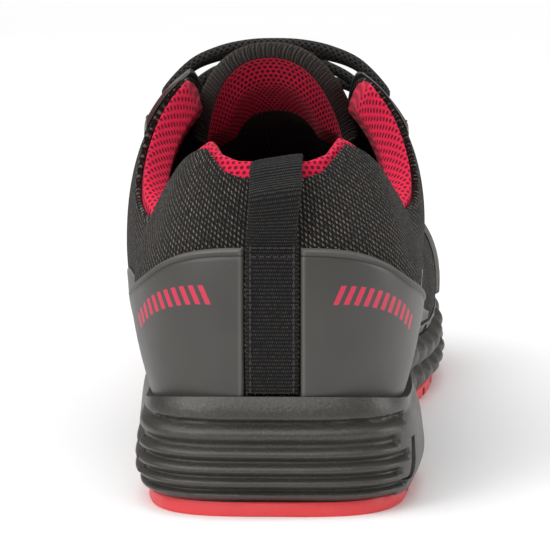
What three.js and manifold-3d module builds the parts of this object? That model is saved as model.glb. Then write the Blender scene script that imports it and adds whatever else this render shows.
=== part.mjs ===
// A low safety sneaker for the left foot, in millimetres.
// +X points to the medial side, +Y to the toe, +Z up, and the floor is z = 0.
import * as THREE from "three";
import { mergeVertices } from "three/addons/utils/BufferGeometryUtils.js";
import { ParametricGeometry } from "three/addons/geometries/ParametricGeometry.js";
import Module from "manifold-3d";

const wasm = await Module();
wasm.setup();

// Driving dimensions of the shoe.
const shoeLength = 296;
const ballWidth = 101;
const instepHeight = 128;
const heelHeight = 103;
const heelStack = 36;
const toeSpring = 16;
const clearance = 0.3;

// Wall, padding and overlay thicknesses.
const upperWall = 2;
const overlayThickness = 1.4;
const collarPadding = 8;
const tonguePadding = 6;
const tongueLift = 4.5;
const insoleThickness = 4.5;
const outsoleThickness = 4.4;
const outsoleInset = 4;
const lugDepth = 3;

// Slot in the heel's side: `at` is a share of shoeLength, `low` and `high` of heelStack.
const slot = { at: 0.055, low: 0.24, high: 0.58, lean: 0.32, width: 4.5, depth: 3.4, recess: 1.2 };

// Lace, webbing and eyelets.
const laceRadius = 1.7;
const eyeletRadius = 2.4;
const eyeletRows = 5;
const eyeletEdge = 7;
const strapWidth = 15.4;
const webbing = 1.5;
const loopStandoff = 7.5;

// Resolution of the lofted forms.
const stationCount = 22;
const lowerRows = 3;
const domeRows = 5;
const tongueSteps = 12;
const tongueRows = 8;
const smallestStep = 0.02;
const formDrop = 12;

// Sole sections from heel to toe. `at` is a share of shoeLength, `centre` and `half` are
// shares of ballWidth, `lip` and `bed` are shares of heelStack above the sole's own rise.
const SOLE_SECTIONS = [
  { at: 0.00, centre: 0.000, half: 0.400, lip: 1.00, bed: 0.67 },
  { at: 0.10, centre: 0.008, half: 0.422, lip: 0.87, bed: 0.67 },
  { at: 0.20, centre: 0.014, half: 0.434, lip: 0.83, bed: 0.65 },
  { at: 0.30, centre: -0.006, half: 0.428, lip: 0.92, bed: 0.62 },
  { at: 0.40, centre: -0.018, half: 0.414, lip: 0.95, bed: 0.58 },
  { at: 0.50, centre: -0.010, half: 0.430, lip: 0.88, bed: 0.53 },
  { at: 0.60, centre: 0.014, half: 0.465, lip: 0.78, bed: 0.48 },
  { at: 0.68, centre: 0.032, half: 0.492, lip: 0.73, bed: 0.46 },
  { at: 0.74, centre: 0.042, half: 0.500, lip: 0.72, bed: 0.45 },
  { at: 0.80, centre: 0.053, half: 0.498, lip: 0.72, bed: 0.45 },
  { at: 0.86, centre: 0.064, half: 0.490, lip: 0.74, bed: 0.45 },
  { at: 0.91, centre: 0.072, half: 0.472, lip: 0.77, bed: 0.45 },
  { at: 0.95, centre: 0.080, half: 0.448, lip: 0.80, bed: 0.45 },
  { at: 1.00, centre: 0.092, half: 0.415, lip: 0.84, bed: 0.45 },
];

// Sections of the upper. `half` and `inset` are shares of ballWidth: the widest line and how
// far the feather line lies inside it. `waist` and `crown` are shares of instepHeight: the
// height of the widest line over the bed, and of the ridge over the floor. `round` is the
// exponent of the dome above the widest line.
const UPPER_SECTIONS = [
  { at: 0.00, half: 0.400, inset: 0.040, waist: 0.30, crown: 0.980, round: 1.9 },
  { at: 0.08, half: 0.408, inset: 0.072, waist: 0.31, crown: 0.995, round: 1.7 },
  { at: 0.16, half: 0.433, inset: 0.096, waist: 0.32, crown: 1.010, round: 1.45 },
  { at: 0.22, half: 0.430, inset: 0.100, waist: 0.34, crown: 1.025, round: 1.42 },
  { at: 0.27, half: 0.454, inset: 0.104, waist: 0.38, crown: 1.025, round: 1.9 },
  { at: 0.33, half: 0.470, inset: 0.098, waist: 0.35, crown: 1.010, round: 2.3 },
  { at: 0.40, half: 0.456, inset: 0.088, waist: 0.29, crown: 0.955, round: 2.4 },
  { at: 0.50, half: 0.438, inset: 0.064, waist: 0.23, crown: 0.820, round: 2.35 },
  { at: 0.60, half: 0.445, inset: 0.044, waist: 0.17, crown: 0.680, round: 2.3 },
  { at: 0.68, half: 0.462, inset: 0.034, waist: 0.13, crown: 0.590, round: 2.3 },
  { at: 0.76, half: 0.468, inset: 0.030, waist: 0.11, crown: 0.525, round: 2.4 },
  { at: 0.84, half: 0.462, inset: 0.026, waist: 0.10, crown: 0.475, round: 2.5 },
  { at: 0.91, half: 0.442, inset: 0.023, waist: 0.10, crown: 0.440, round: 2.6 },
  { at: 1.00, half: 0.390, inset: 0.021, waist: 0.10, crown: 0.420, round: 2.7 },
];

// Rounded ends in plan, as lengths along the shoe and exponents.
const soleEnds = { heel: 40, heelRound: 3.6, toe: 76, toeRound: 2.45 };
const upperEnds = { heel: 40, heelRound: 2.5, toe: 72, toeRound: 2.5 };
const upperSetback = { heel: 4, toe: 7 };
const upperHub = { heel: 40, toe: 58 };

// Curve of the sole's side: `at` is a share of the side's height, `inset` is in millimetres.
const SIDE_CURVE = [
  { at: 0.00, inset: 2.4 },
  { at: 0.22, inset: 0.0 },
  { at: 0.50, inset: 0.4 },
  { at: 0.76, inset: 1.5 },
  { at: 1.00, inset: 4.0 },
];
const RIB_GROOVES = [0.115, 0.246, 0.387, 0.537, 0.754];
const ribDepth = 1.7;
const ribShoulder = 0.35;

// Where the ribs fade out along the shoe, and where the forefoot's cells begin.
const ribEnds = { medial: 0.04, lateral: 0.16, fade: 0.03 };
const scallopDepth = 1.3;
const scallop = { start: 0.5, full: 0.56, top: 0.75 };

// Heights and places along the shoe for the collar, throat and overlays. `at` is a share of
// shoeLength, `up` a share of heelHeight.
const TOPLINE = [
  { at: 0.000, up: 1.020 },
  { at: 0.040, up: 1.035 },
  { at: 0.080, up: 1.040 },
  { at: 0.120, up: 0.965 },
  { at: 0.170, up: 0.850 },
  { at: 0.218, up: 0.785 },
  { at: 0.270, up: 0.835 },
  { at: 0.312, up: 0.990 },
  { at: 0.340, up: 1.160 },
];
const toplineSlant = 0.035;
const notch = { height: 0.962, margin: 1.5, run: 5, rise: 1.5, wide: 14, high: 11 };

// Collar lining: its rise over the upper's edge, its least thickness, and the heights as
// shares of heelHeight between which the padding swells.
const liningRise = 2.4;
const liningThin = 2.5;
const liningSwell = { low: 0.553, high: 0.767 };

// Side outlines, from the top edge round: `at` is a share of shoeLength, `up` of heelHeight.
const LINING_EDGE = [
  { at: -0.068, up: 0.578 },
  { at: 0.200, up: 0.481 },
  { at: 0.318, up: 0.637 },
  { at: 0.365, up: 0.850 },
];
const COUNTER_EDGE = [
  { at: -0.070, up: 0.785 },
  { at: 0.0135, up: 0.785 },
  { at: 0.0405, up: 0.750 },
  { at: 0.0743, up: 0.675 },
  { at: 0.1486, up: 0.585 },
  { at: 0.2095, up: 0.525 },
  { at: 0.2500, up: 0.400 },
  { at: 0.2905, up: 0.200 },
  { at: -0.070, up: 0.200 },
];
const PANEL_EDGE = [
  { at: 0.294, up: 0.200 },
  { at: 0.2535, up: 0.400 },
  { at: 0.213, up: 0.525 },
  { at: 0.284, up: 0.600 },
  { at: 0.378, up: 0.540 },
  { at: 0.507, up: 0.400 },
  { at: 0.662, up: 0.280 },
  { at: 0.662, up: 0.100 },
  { at: 0.294, up: 0.100 },
];
const EYESTAY_EDGE = [
  { at: 0.311, up: 1.01 },
  { at: 0.405, up: 0.93 },
  { at: 0.507, up: 0.80 },
  { at: 0.601, up: 0.66 },
  { at: 0.689, up: 0.60 },
  { at: 0.713, up: 0.90 },
  { at: 0.642, up: 2.00 },
  { at: 0.311, up: 2.00 },
];
const TOE_GUARD_EDGE = [
  { at: 0.784, up: 0.10 },
  { at: 0.804, up: 0.40 },
  { at: 0.851, up: 0.75 },
  { at: 1.070, up: 0.75 },
  { at: 1.070, up: 0.10 },
];

// Throat half widths as shares of ballWidth.
const THROAT = [
  { at: 0.28, half: 0.305 },
  { at: 0.36, half: 0.258 },
  { at: 0.46, half: 0.222 },
  { at: 0.56, half: 0.190 },
  { at: 0.63, half: 0.150 },
];
const throatEnd = 0.655;
const eyeletsAt = { first: 0.372, last: 0.625 };

// Tongue: `half` is a share of ballWidth, `arch` of instepHeight is how far its sides hang
// under the dome, and `lift` is the share of tongueLift that raises its middle.
const TONGUE = [
  { at: 0.310, half: 0.252, arch: 0.170, lift: 1.00 },
  { at: 0.360, half: 0.262, arch: 0.150, lift: 0.60 },
  { at: 0.420, half: 0.270, arch: 0.085, lift: 0.10 },
  { at: 0.500, half: 0.268, arch: 0.015, lift: 0.00 },
  { at: 0.600, half: 0.245, arch: 0.000, lift: -0.15 },
  { at: 0.680, half: 0.200, arch: 0.000, lift: -0.25 },
  { at: 0.716, half: 0.135, arch: 0.000, lift: -0.30 },
];
const tongueRound = 2.3;
const tongueSweep = 0.07;
const tongueLean = 3.5;

// Grooves of the tread: `at` is a share of shoeLength, `width` and `bend` are in millimetres.
const GROOVES = [
  { at: 0.105, width: 4, bend: 6 },
  { at: 0.175, width: 4, bend: 6 },
  { at: 0.245, width: 4, bend: 6 },
  { at: 0.54, width: 5, bend: -8 },
  { at: 0.60, width: 4, bend: -8 },
  { at: 0.66, width: 4, bend: -8 },
  { at: 0.72, width: 4, bend: -8 },
  { at: 0.78, width: 4, bend: -8 },
  { at: 0.84, width: 4, bend: -8 },
  { at: 0.90, width: 4, bend: -8 },
];
const treadWaist = { from: 0.335, to: 0.455 };

const COLOURS = {
  knit: 0x2b2b2b,
  overlay: 0x5a5856,
  foam: 0x3e3b38,
  rubber: 0xe14b4e,
  lining: 0xd62b4b,
  webbing: 0x222222,
  lace: 0x1c1c1c,
  insole: 0x303030,
};

// Smooth value of a table's column at a share of the shoe's length.
function valueAt(rows, column, at) {
  const share = THREE.MathUtils.clamp(at, rows[0].at, rows[rows.length - 1].at);
  let index = 0;
  while (index < rows.length - 2 && share > rows[index + 1].at) index += 1;
  const slope = (i) => {
    const before = rows[Math.max(i - 1, 0)];
    const after = rows[Math.min(i + 1, rows.length - 1)];
    return (after[column] - before[column]) / (after.at - before.at);
  };
  const low = rows[index];
  const high = rows[index + 1];
  const span = high.at - low.at;
  const t = (share - low.at) / span;
  const start = (1 + 2 * t) * (1 - t) ** 2 * low[column] + t * (1 - t) ** 2 * span * slope(index);
  const end = t * t * (3 - 2 * t) * high[column] + t * t * (t - 1) * span * slope(index + 1);
  return start + end;
}

// Height of the sole's underside over the floor at y.
function soleRise(y) {
  const springStart = 0.66 * shoeLength;
  const reach = Math.max(0, (y - springStart) / (shoeLength - springStart));
  return toeSpring * reach ** 1.8;
}

// Share of the full width left by the rounded heel and toe at y between two ends.
function endCap(y, back, front, ends) {
  const fromHeel = THREE.MathUtils.clamp((y - back) / ends.heel, 0, 1);
  const fromToe = THREE.MathUtils.clamp((front - y) / ends.toe, 0, 1);
  const heel = (1 - (1 - fromHeel) ** ends.heelRound) ** (1 / ends.heelRound);
  const toe = (1 - (1 - fromToe) ** ends.toeRound) ** (1 / ends.toeRound);
  return heel * toe;
}

// Station around a form: u runs up the medial side to the toe and back down the lateral side.
function stationAt(u) {
  const medial = u <= 0.5;
  const along = medial ? 2 * u : 2 - 2 * u;
  return { side: medial ? 1 : -1, share: (1 - Math.cos(Math.PI * along)) / 2, along };
}

// Sizes of the upper at y, for a surface grown outwards by `grow`.
function upperSection(y, grow) {
  const at = y / shoeLength;
  const bed = valueAt(SOLE_SECTIONS, "bed", at) * heelStack + soleRise(y);
  const waist = valueAt(UPPER_SECTIONS, "waist", at) * instepHeight;
  return {
    centre: valueAt(SOLE_SECTIONS, "centre", at) * ballWidth,
    half: valueAt(UPPER_SECTIONS, "half", at) * ballWidth + grow,
    inset: valueAt(UPPER_SECTIONS, "inset", at) * ballWidth,
    bed: bed - grow,
    widest: bed + waist,
    crown: valueAt(UPPER_SECTIONS, "crown", at) * instepHeight + 0.6 * soleRise(y) + grow,
    round: valueAt(UPPER_SECTIONS, "round", at),
  };
}

// The upper's own surface. `growAt` gives the growth in millimetres at a place on it, given as
// { x, y, z }, and at the form's base when called without one. `drop` lowers the bottom.
function upperPoint(u, v, growAt, drop, target) {
  const station = stationAt(u);
  const rows = 1 + lowerRows + domeRows;
  const row = v * rows;
  const base = growAt();
  const back = upperSetback.heel - base;
  const front = shoeLength - upperSetback.toe + base;
  const y = back + (front - back) * station.share;
  const hubY = THREE.MathUtils.clamp(y, upperSetback.heel + upperHub.heel,
    shoeLength - upperSetback.toe - upperHub.toe);
  const foot = upperSection(y, 0);
  const hub = upperSection(hubY, 0);
  const lower = THREE.MathUtils.clamp((row - 1) / lowerRows, 0, 1);
  const dome = THREE.MathUtils.clamp((row - 1 - lowerRows) / domeRows, 0, 1) * Math.PI / 2;
  const power = 2 / foot.round;
  const inward = dome === Math.PI / 2 ? 1 : 1 - Math.cos(dome) ** power;
  const upward = Math.sin(dome) ** power;
  const lowZ = foot.bed - base - drop;
  const wallZ = THREE.MathUtils.lerp(lowZ, foot.widest, lower);
  const z0 = THREE.MathUtils.lerp(wallZ, hub.crown, upward);
  const reach = THREE.MathUtils.clamp((wallZ - foot.bed) / (foot.widest - foot.bed), 0, 1);
  const feather = foot.inset * (1 - reach) ** 1.8;
  const cap = endCap(y, back, front, upperEnds);
  const capped = (foot.half + base) * cap;
  const edgeX = foot.centre + station.side * Math.max(capped - feather * cap, 0);
  const towardHub = new THREE.Vector2(hub.centre - edgeX, hubY - y);
  const edge = new THREE.Vector2(edgeX, y);
  const axial = new THREE.Vector2(0, hubY - y).normalize();
  edge.addScaledVector(axial, feather * (1 - cap));
  const start = row < 1 ? row : 0;
  const blend = row < 1 ? 1 - start : inward;
  const before = THREE.MathUtils.lerp(edge.x, hub.centre, blend);
  const grow = growAt({ x: before, y: THREE.MathUtils.lerp(y, hubY, blend), z: z0 });
  const extra = base - grow;
  if (towardHub.length() > 0) edge.addScaledVector(towardHub.clone().normalize(), extra * (1 - blend));
  const planX = THREE.MathUtils.lerp(edge.x, hub.centre, blend);
  const planY = THREE.MathUtils.lerp(edge.y, hubY, blend);
  const z = row < 1 ? hub.bed - base - drop : THREE.MathUtils.lerp(wallZ, hub.crown + grow, upward);
  return target.set(planX, planY, z);
}

// Height of the dome of the upper at a place in plan, grown by `grow`.
function domeHeight(x, y, grow) {
  const section = upperSection(y, grow);
  const across = Math.min(Math.abs(x - section.centre) / section.half, 0.999);
  const rise = (1 - across ** section.round) ** (1 / section.round);
  return section.widest + (section.crown - section.widest) * rise;
}

// Closed solid from a geometry: vertices joined, collapsed triangles dropped, faces outwards.
function solidOf(geometry) {
  const bare = geometry.clone();
  for (const name of ["normal", "uv"]) bare.deleteAttribute(name);
  const merged = mergeVertices(bare, 1e-4);
  const place = merged.attributes.position;
  const index = merged.index.array;
  const corners = [];
  let volume = 0;
  const [a, b, c] = [new THREE.Vector3(), new THREE.Vector3(), new THREE.Vector3()];
  for (let i = 0; i < index.length; i += 3) {
    const [p, q, r] = [index[i], index[i + 1], index[i + 2]];
    if (p === q || q === r || r === p) continue;
    corners.push(p, q, r);
    a.fromBufferAttribute(place, p);
    b.fromBufferAttribute(place, q);
    c.fromBufferAttribute(place, r);
    volume += a.dot(b.cross(c));
  }
  if (volume < 0) {
    for (let i = 0; i < corners.length; i += 3) {
      [corners[i + 1], corners[i + 2]] = [corners[i + 2], corners[i + 1]];
    }
  }
  return new wasm.Manifold(new wasm.Mesh({
    numProp: 3,
    vertProperties: new Float32Array(place.array),
    triVerts: new Uint32Array(corners),
  }));
}

function upperForm(growAt, drop = 0) {
  const rows = 1 + lowerRows + domeRows;
  const place = (u, v, target) => upperPoint(u, v, growAt, drop, target);
  return solidOf(new ParametricGeometry(place, 2 * stationCount, rows));
}

// A form of the upper with one growth all over.
const grownUpper = (grow, drop = 0) => upperForm(() => grow, drop);

// Rows of the sole's side from the bottom up, as height share and rib depth share.
function sideRows() {
  const rows = [{ up: 0, rib: 0.4 }];
  const edges = [0, ...RIB_GROOVES];
  for (let i = 0; i < RIB_GROOVES.length; i += 1) {
    const span = edges[i + 1] - edges[i];
    rows.push({ up: edges[i] + 0.3 * span, rib: 0.1 });
    rows.push({ up: edges[i] + 0.7 * span, rib: 0.1 });
    rows.push({ up: edges[i + 1], rib: 1 });
  }
  const last = RIB_GROOVES[RIB_GROOVES.length - 1];
  rows.push({ up: last + ribShoulder * (1 - last), rib: 0 });
  rows.push({ up: 1, rib: 0 });
  return rows;
}

const SIDE_ROWS = sideRows();

// The midsole's full body, from its flat underside to its lip, grown by `grow`.
function midsolePoint(u, v, grow, target) {
  const station = stationAt(u);
  const row = Math.round(v * (SIDE_ROWS.length + 1));
  const index = THREE.MathUtils.clamp(row - 1, 0, SIDE_ROWS.length - 1);
  const spine = row === 0 || row === SIDE_ROWS.length + 1;
  const back = -grow;
  const front = shoeLength + grow;
  const y = back + (front - back) * station.share;
  const at = y / shoeLength;
  const hubY = THREE.MathUtils.clamp(y, soleEnds.heel, shoeLength - soleEnds.toe);
  const rimY = spine ? hubY : y;
  const { up, rib } = SIDE_ROWS[index];
  const low = outsoleThickness + clearance + soleRise(rimY) - grow;
  const high = valueAt(SOLE_SECTIONS, "lip", rimY / shoeLength) * heelStack + soleRise(rimY) + grow;
  const ribsTo = station.side > 0 ? ribEnds.medial : ribEnds.lateral;
  const ribFade = 1 - THREE.MathUtils.smoothstep(at, ribsTo, ribsTo + ribEnds.fade);
  const cell = THREE.MathUtils.smoothstep(at, scallop.start, scallop.full);
  const column = Math.round(station.along * stationCount) % 2;
  const hollow = column * cell * scallopDepth * Math.sin(Math.PI * Math.min(up / scallop.top, 1));
  const inset = valueAt(SIDE_CURVE, "inset", up) + rib * ribFade * ribDepth + hollow;
  const cap = endCap(y, back, front, soleEnds);
  const half = valueAt(SOLE_SECTIONS, "half", at) * ballWidth + grow;
  const centre = valueAt(SOLE_SECTIONS, "centre", at) * ballWidth;
  const hubX = valueAt(SOLE_SECTIONS, "centre", hubY / shoeLength) * ballWidth;
  const edge = new THREE.Vector2(centre + station.side * half * cap, y);
  const inward = new THREE.Vector2(hubX - edge.x, hubY - y);
  edge.addScaledVector(inward.normalize(), inset);
  const z = THREE.MathUtils.lerp(low, high, up);
  return spine ? target.set(hubX, hubY, z) : target.set(edge.x, edge.y, z);
}

function midsoleForm(grow) {
  const place = (u, v, target) => midsolePoint(u, v, grow, target);
  return solidOf(new ParametricGeometry(place, 2 * stationCount, SIDE_ROWS.length + 1));
}

// Flat plate that follows the sole's outline: between two heights over the sole's rise.
function plateForm(low, high, setback, halfAt) {
  const place = (u, v, target) => {
    const station = stationAt(u);
    const row = Math.round(v * 3);
    const back = setback.heel;
    const front = shoeLength - setback.toe;
    const y = back + (front - back) * station.share;
    const hubY = THREE.MathUtils.clamp(y, soleEnds.heel, shoeLength - soleEnds.toe);
    const cap = endCap(y, back, front, soleEnds);
    const half = halfAt(y);
    const centre = valueAt(SOLE_SECTIONS, "centre", y / shoeLength) * ballWidth;
    const hubX = valueAt(SOLE_SECTIONS, "centre", hubY / shoeLength) * ballWidth;
    const spine = row === 0 || row === 3;
    const x = spine ? hubX : centre + station.side * half * cap;
    const z = row < 2 ? low(y) : high(y);
    const hubZ = row < 2 ? low(hubY) : high(hubY);
    return spine ? target.set(x, hubY, hubZ) : target.set(x, y, z);
  };
  return solidOf(new ParametricGeometry(place, 2 * stationCount, 3));
}

// Points of a side outline, in millimetres.
const sideOutline = (rows) => rows.map(({ at, up }) => [at * shoeLength, up * heelHeight]);

// Prism of a side outline of points [y, z], from one x to another.
function sidePrism(points, fromX, toX) {
  const shape = new THREE.Shape(points.map(([y, z]) => new THREE.Vector2(y, z)));
  const geometry = new THREE.ExtrudeGeometry(shape, { depth: toX - fromX, bevelEnabled: false });
  const axes = new THREE.Matrix4().makeBasis(
    new THREE.Vector3(0, 1, 0), new THREE.Vector3(0, 0, 1), new THREE.Vector3(1, 0, 0));
  geometry.translate(0, 0, fromX).applyMatrix4(axes);
  return geometry;
}

// Prism of a plan outline between two heights.
function planPrism(points, low, high) {
  const shape = new THREE.Shape(points.map(([x, y]) => new THREE.Vector2(x, y)));
  const geometry = new THREE.ExtrudeGeometry(shape, { depth: high - low, bevelEnabled: false });
  return geometry.translate(0, 0, low);
}

// Points of the topline at a raise, with its front end carried up out of the form.
function toplinePoints(raise) {
  const steps = 22;
  const last = TOPLINE[TOPLINE.length - 1].at;
  const points = [];
  for (let i = 0; i <= steps; i += 1) {
    const at = last * i / steps;
    points.push([at * shoeLength, valueAt(TOPLINE, "up", at) * heelHeight + raise]);
  }
  return points;
}

// Shallow notch in the topline over the strap, seen from behind.
function notchCutter(raise) {
  const reach = 3 * strapWidth;
  const floor = notch.height * heelHeight + raise;
  const half = strapWidth / 2 + notch.margin;
  const right = [[half, floor], [half + notch.run, floor + notch.rise],
    [half + notch.wide, floor + notch.high]];
  const left = right.map(([x, z]) => [-x, z]).reverse();
  const shape = new THREE.Shape([...right, ...left].map(([x, z]) => new THREE.Vector2(x, z)));
  const geometry = new THREE.ExtrudeGeometry(shape, { depth: reach, bevelEnabled: false });
  const axes = new THREE.Matrix4().makeBasis(
    new THREE.Vector3(1, 0, 0), new THREE.Vector3(0, 0, 1), new THREE.Vector3(0, -1, 0));
  return solidOf(geometry.applyMatrix4(axes).translate(0, reach - strapWidth / 3, 0));
}

// Everything over the topline, slanted a little so that the lateral side dips lower.
function collarCutter(raise) {
  const reach = 2 * ballWidth;
  const top = 2 * instepHeight;
  const line = toplinePoints(raise);
  const outline = [[-reach, line[0][1]], ...line, [line[line.length - 1][0], top], [-reach, top]];
  const geometry = sidePrism(outline, -reach / 2, reach / 2);
  const slant = new THREE.Matrix4().set(1, 0, 0, 0, 0, 1, 0, 0, toplineSlant, 0, 1, 0, 0, 0, 0, 1);
  return solidOf(geometry.applyMatrix4(slant)).add(notchCutter(raise));
}

// Opening of the throat in plan, widened by `widen`.
function throatCutter(widen) {
  const centreAt = (y) => valueAt(SOLE_SECTIONS, "centre", y / shoeLength) * ballWidth;
  const steps = 8;
  const first = THROAT[0].at;
  const last = THROAT[THROAT.length - 1].at;
  const edge = [];
  for (let i = 0; i <= steps; i += 1) {
    const at = THREE.MathUtils.lerp(first, last, i / steps);
    edge.push([at * shoeLength, valueAt(THROAT, "half", at) * ballWidth + widen]);
  }
  const [endY, endHalf] = edge[edge.length - 1];
  const noseY = throatEnd * shoeLength + widen;
  edge.push([THREE.MathUtils.lerp(endY, noseY, 0.65), 0.72 * endHalf]);
  edge.push([noseY, 0.3 * endHalf]);
  const right = edge.map(([y, half]) => [centreAt(y) + half, y]);
  const left = edge.map(([y, half]) => [centreAt(y) - half, y]).reverse();
  return solidOf(planPrism([...right, ...left], heelStack * 1.2, 2 * instepHeight));
}

// Places of the eyelets on the upper, from the top row down.
function eyeletPlaces() {
  const places = [];
  for (let row = 0; row < eyeletRows; row += 1) {
    const at = THREE.MathUtils.lerp(eyeletsAt.first, eyeletsAt.last, row / (eyeletRows - 1));
    const y = at * shoeLength;
    const half = valueAt(THROAT, "half", at) * ballWidth + eyeletEdge;
    for (const side of [-1, 1]) {
      const x = valueAt(SOLE_SECTIONS, "centre", at) * ballWidth + side * half;
      places.push({ row, side, x, y, outward: domeNormal(x, y) });
    }
  }
  return places;
}

// Direction out of the dome at a place in plan.
function domeNormal(x, y) {
  const step = 0.5;
  const slopeX = (domeHeight(x + step, y, 0) - domeHeight(x - step, y, 0)) / (2 * step);
  const slopeY = (domeHeight(x, y + step, 0) - domeHeight(x, y - step, 0)) / (2 * step);
  return new THREE.Vector3(-slopeX, -slopeY, 1).normalize();
}

// Point over the dome at a place in plan, `over` millimetres out along its normal.
function overDome(x, y, over) {
  const surface = new THREE.Vector3(x, y, domeHeight(x, y, 0));
  return surface.addScaledVector(domeNormal(x, y), over);
}

// Holes for the lace through upper and eyestay.
function eyeletCutter() {
  const drill = 12;
  return eyeletPlaces().reduce((cut, place) => {
    const hole = new THREE.CylinderGeometry(eyeletRadius, eyeletRadius, drill, 8);
    const turn = new THREE.Quaternion().setFromUnitVectors(new THREE.Vector3(0, 1, 0), place.outward);
    const centre = overDome(place.x, place.y, 0);
    hole.applyQuaternion(turn).translate(centre.x, centre.y, centre.z);
    const solid = solidOf(hole);
    return cut ? cut.add(solid) : solid;
  }, null);
}

// Round cord along a list of points.
function cordSolid(points, radius, steps) {
  const path = new THREE.CatmullRomCurve3(points);
  const sides = 5;
  const ring = [];
  for (let i = 0; i < sides; i += 1) {
    const turn = 2 * Math.PI * i / sides;
    ring.push(new THREE.Vector2(radius * Math.cos(turn), radius * Math.sin(turn)));
  }
  const geometry = new THREE.ExtrudeGeometry(new THREE.Shape(ring), { steps, extrudePath: path });
  return solidOf(geometry);
}

// Shared forms.
const outerForm = grownUpper(0);
const innerForm = grownUpper(-upperWall, formDrop);
const overlayIn = grownUpper(clearance);
const overlayOut = grownUpper(clearance + overlayThickness);
const collarCut = collarCutter(0);
const throatCut = throatCutter(0);
const eyeletCut = eyeletCutter();
const overlayShell = overlayOut.subtract(overlayIn).subtract(midsoleForm(clearance));

// Slanted slot in the midsole's side, narrowed by `margin`.
function slotPrism(side, margin) {
  const floor = slot.low * heelStack;
  const low = floor + margin;
  const high = slot.high * heelStack - margin;
  const back = (z) => slot.at * shoeLength + slot.lean * (z - floor);
  const outline = [
    [back(low) + margin, low], [back(low) + slot.width - margin, low],
    [back(high) + slot.width - margin, high], [back(high) + margin, high],
  ];
  return solidOf(sidePrism(outline, side > 0 ? 0 : -ballWidth, side > 0 ? ballWidth : 0));
}

function buildMidsole() {
  const slots = slotPrism(1, 0).add(slotPrism(-1, 0)).subtract(midsoleForm(-slot.depth));
  return midsoleForm(0).subtract(grownUpper(clearance)).subtract(slots);
}

// Insert at the bottom of a slot.
function buildSlotInsert(side) {
  const band = midsoleForm(-slot.recess).subtract(midsoleForm(clearance - slot.depth));
  return band.intersect(slotPrism(side, clearance));
}

function buildUpper() {
  return outerForm.subtract(innerForm).subtract(collarCut).subtract(throatCut).subtract(eyeletCut);
}

const soleHalf = (y) => valueAt(SOLE_SECTIONS, "half", y / shoeLength) * ballWidth;

// Chevron grooves across the tread, and the waist between heel and forefoot.
function treadCutter() {
  const reach = 0.7 * ballWidth;
  const low = -lugDepth;
  const cutters = GROOVES.map(({ at, width, bend }) => {
    const y = at * shoeLength;
    const high = lugDepth + soleRise(y);
    return solidOf(planPrism([
      [-reach, y + bend], [0, y], [reach, y + bend],
      [reach, y + bend + width], [0, y + width], [-reach, y + bend + width],
    ], low, high));
  });
  const from = treadWaist.from * shoeLength;
  const to = treadWaist.to * shoeLength;
  const waist = [[-reach, from], [reach, from], [reach, to], [-reach, to]];
  cutters.push(solidOf(planPrism(waist, low, lugDepth)));
  return cutters.reduce((all, one) => all.add(one));
}

function buildOutsole() {
  const setback = { heel: outsoleInset, toe: outsoleInset };
  const top = (y) => soleRise(y) + outsoleThickness;
  const plate = plateForm(soleRise, top, setback, (y) => soleHalf(y) - outsoleInset);
  return plate.subtract(treadCutter());
}

// Insole on the bed, inside the upper's wall.
function buildInsole() {
  const inside = upperWall + clearance;
  const over = 5;
  return grownUpper(-inside, inside).subtract(grownUpper(over, -over - insoleThickness));
}

// Padded lining of the collar, thick at the topline and thin below the ankle, with `margin`
// added all round where its room is cut from a neighbour.
function liningForm(margin) {
  const outside = -upperWall - clearance;
  const low = liningSwell.low * heelHeight;
  const high = liningSwell.high * heelHeight;
  const growAt = (place) => {
    if (!place) return outside - liningThin - margin;
    const swell = THREE.MathUtils.smoothstep(place.z, low, high);
    return outside - liningThin - (collarPadding - liningThin) * swell - margin;
  };
  const shell = grownUpper(outside + margin, formDrop).subtract(upperForm(growAt, formDrop));
  const edge = sideOutline(LINING_EDGE).map(([y, z]) => [y + margin, z - margin]);
  const top = 2 * instepHeight;
  const outline = [...edge, [edge[edge.length - 1][0], top], [edge[0][0], top]];
  const zone = solidOf(sidePrism(outline, -ballWidth, ballWidth));
  return shell.intersect(zone).subtract(collarCutter(liningRise + margin))
    .subtract(throatCutter(-liningRise - margin));
}

const buildLining = () => liningForm(0);

// Part of the overlay's shell inside a side outline, from one x to another.
function overlayPiece(rows, from, to) {
  return overlayShell.intersect(solidOf(sidePrism(sideOutline(rows), from, to)));
}

// Heel counter: two halves beside the strap.
function counterHalf(side) {
  const strapHalf = strapWidth / 2 + 2 * clearance;
  const from = side > 0 ? strapHalf : -ballWidth;
  const to = side > 0 ? ballWidth : -strapHalf;
  return overlayPiece(COUNTER_EDGE, from, to);
}

// Smooth side panel ahead of the counter.
function sidePanel(side) {
  return overlayPiece(PANEL_EDGE, side > 0 ? 0 : -ballWidth, side > 0 ? ballWidth : 0);
}

function buildEyestay() {
  const whole = overlayPiece(EYESTAY_EDGE, -ballWidth, ballWidth);
  return whole.subtract(collarCut).subtract(throatCut).subtract(eyeletCut);
}

const buildToeGuard = () => overlayPiece(TOE_GUARD_EDGE, -ballWidth, ballWidth);

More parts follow.
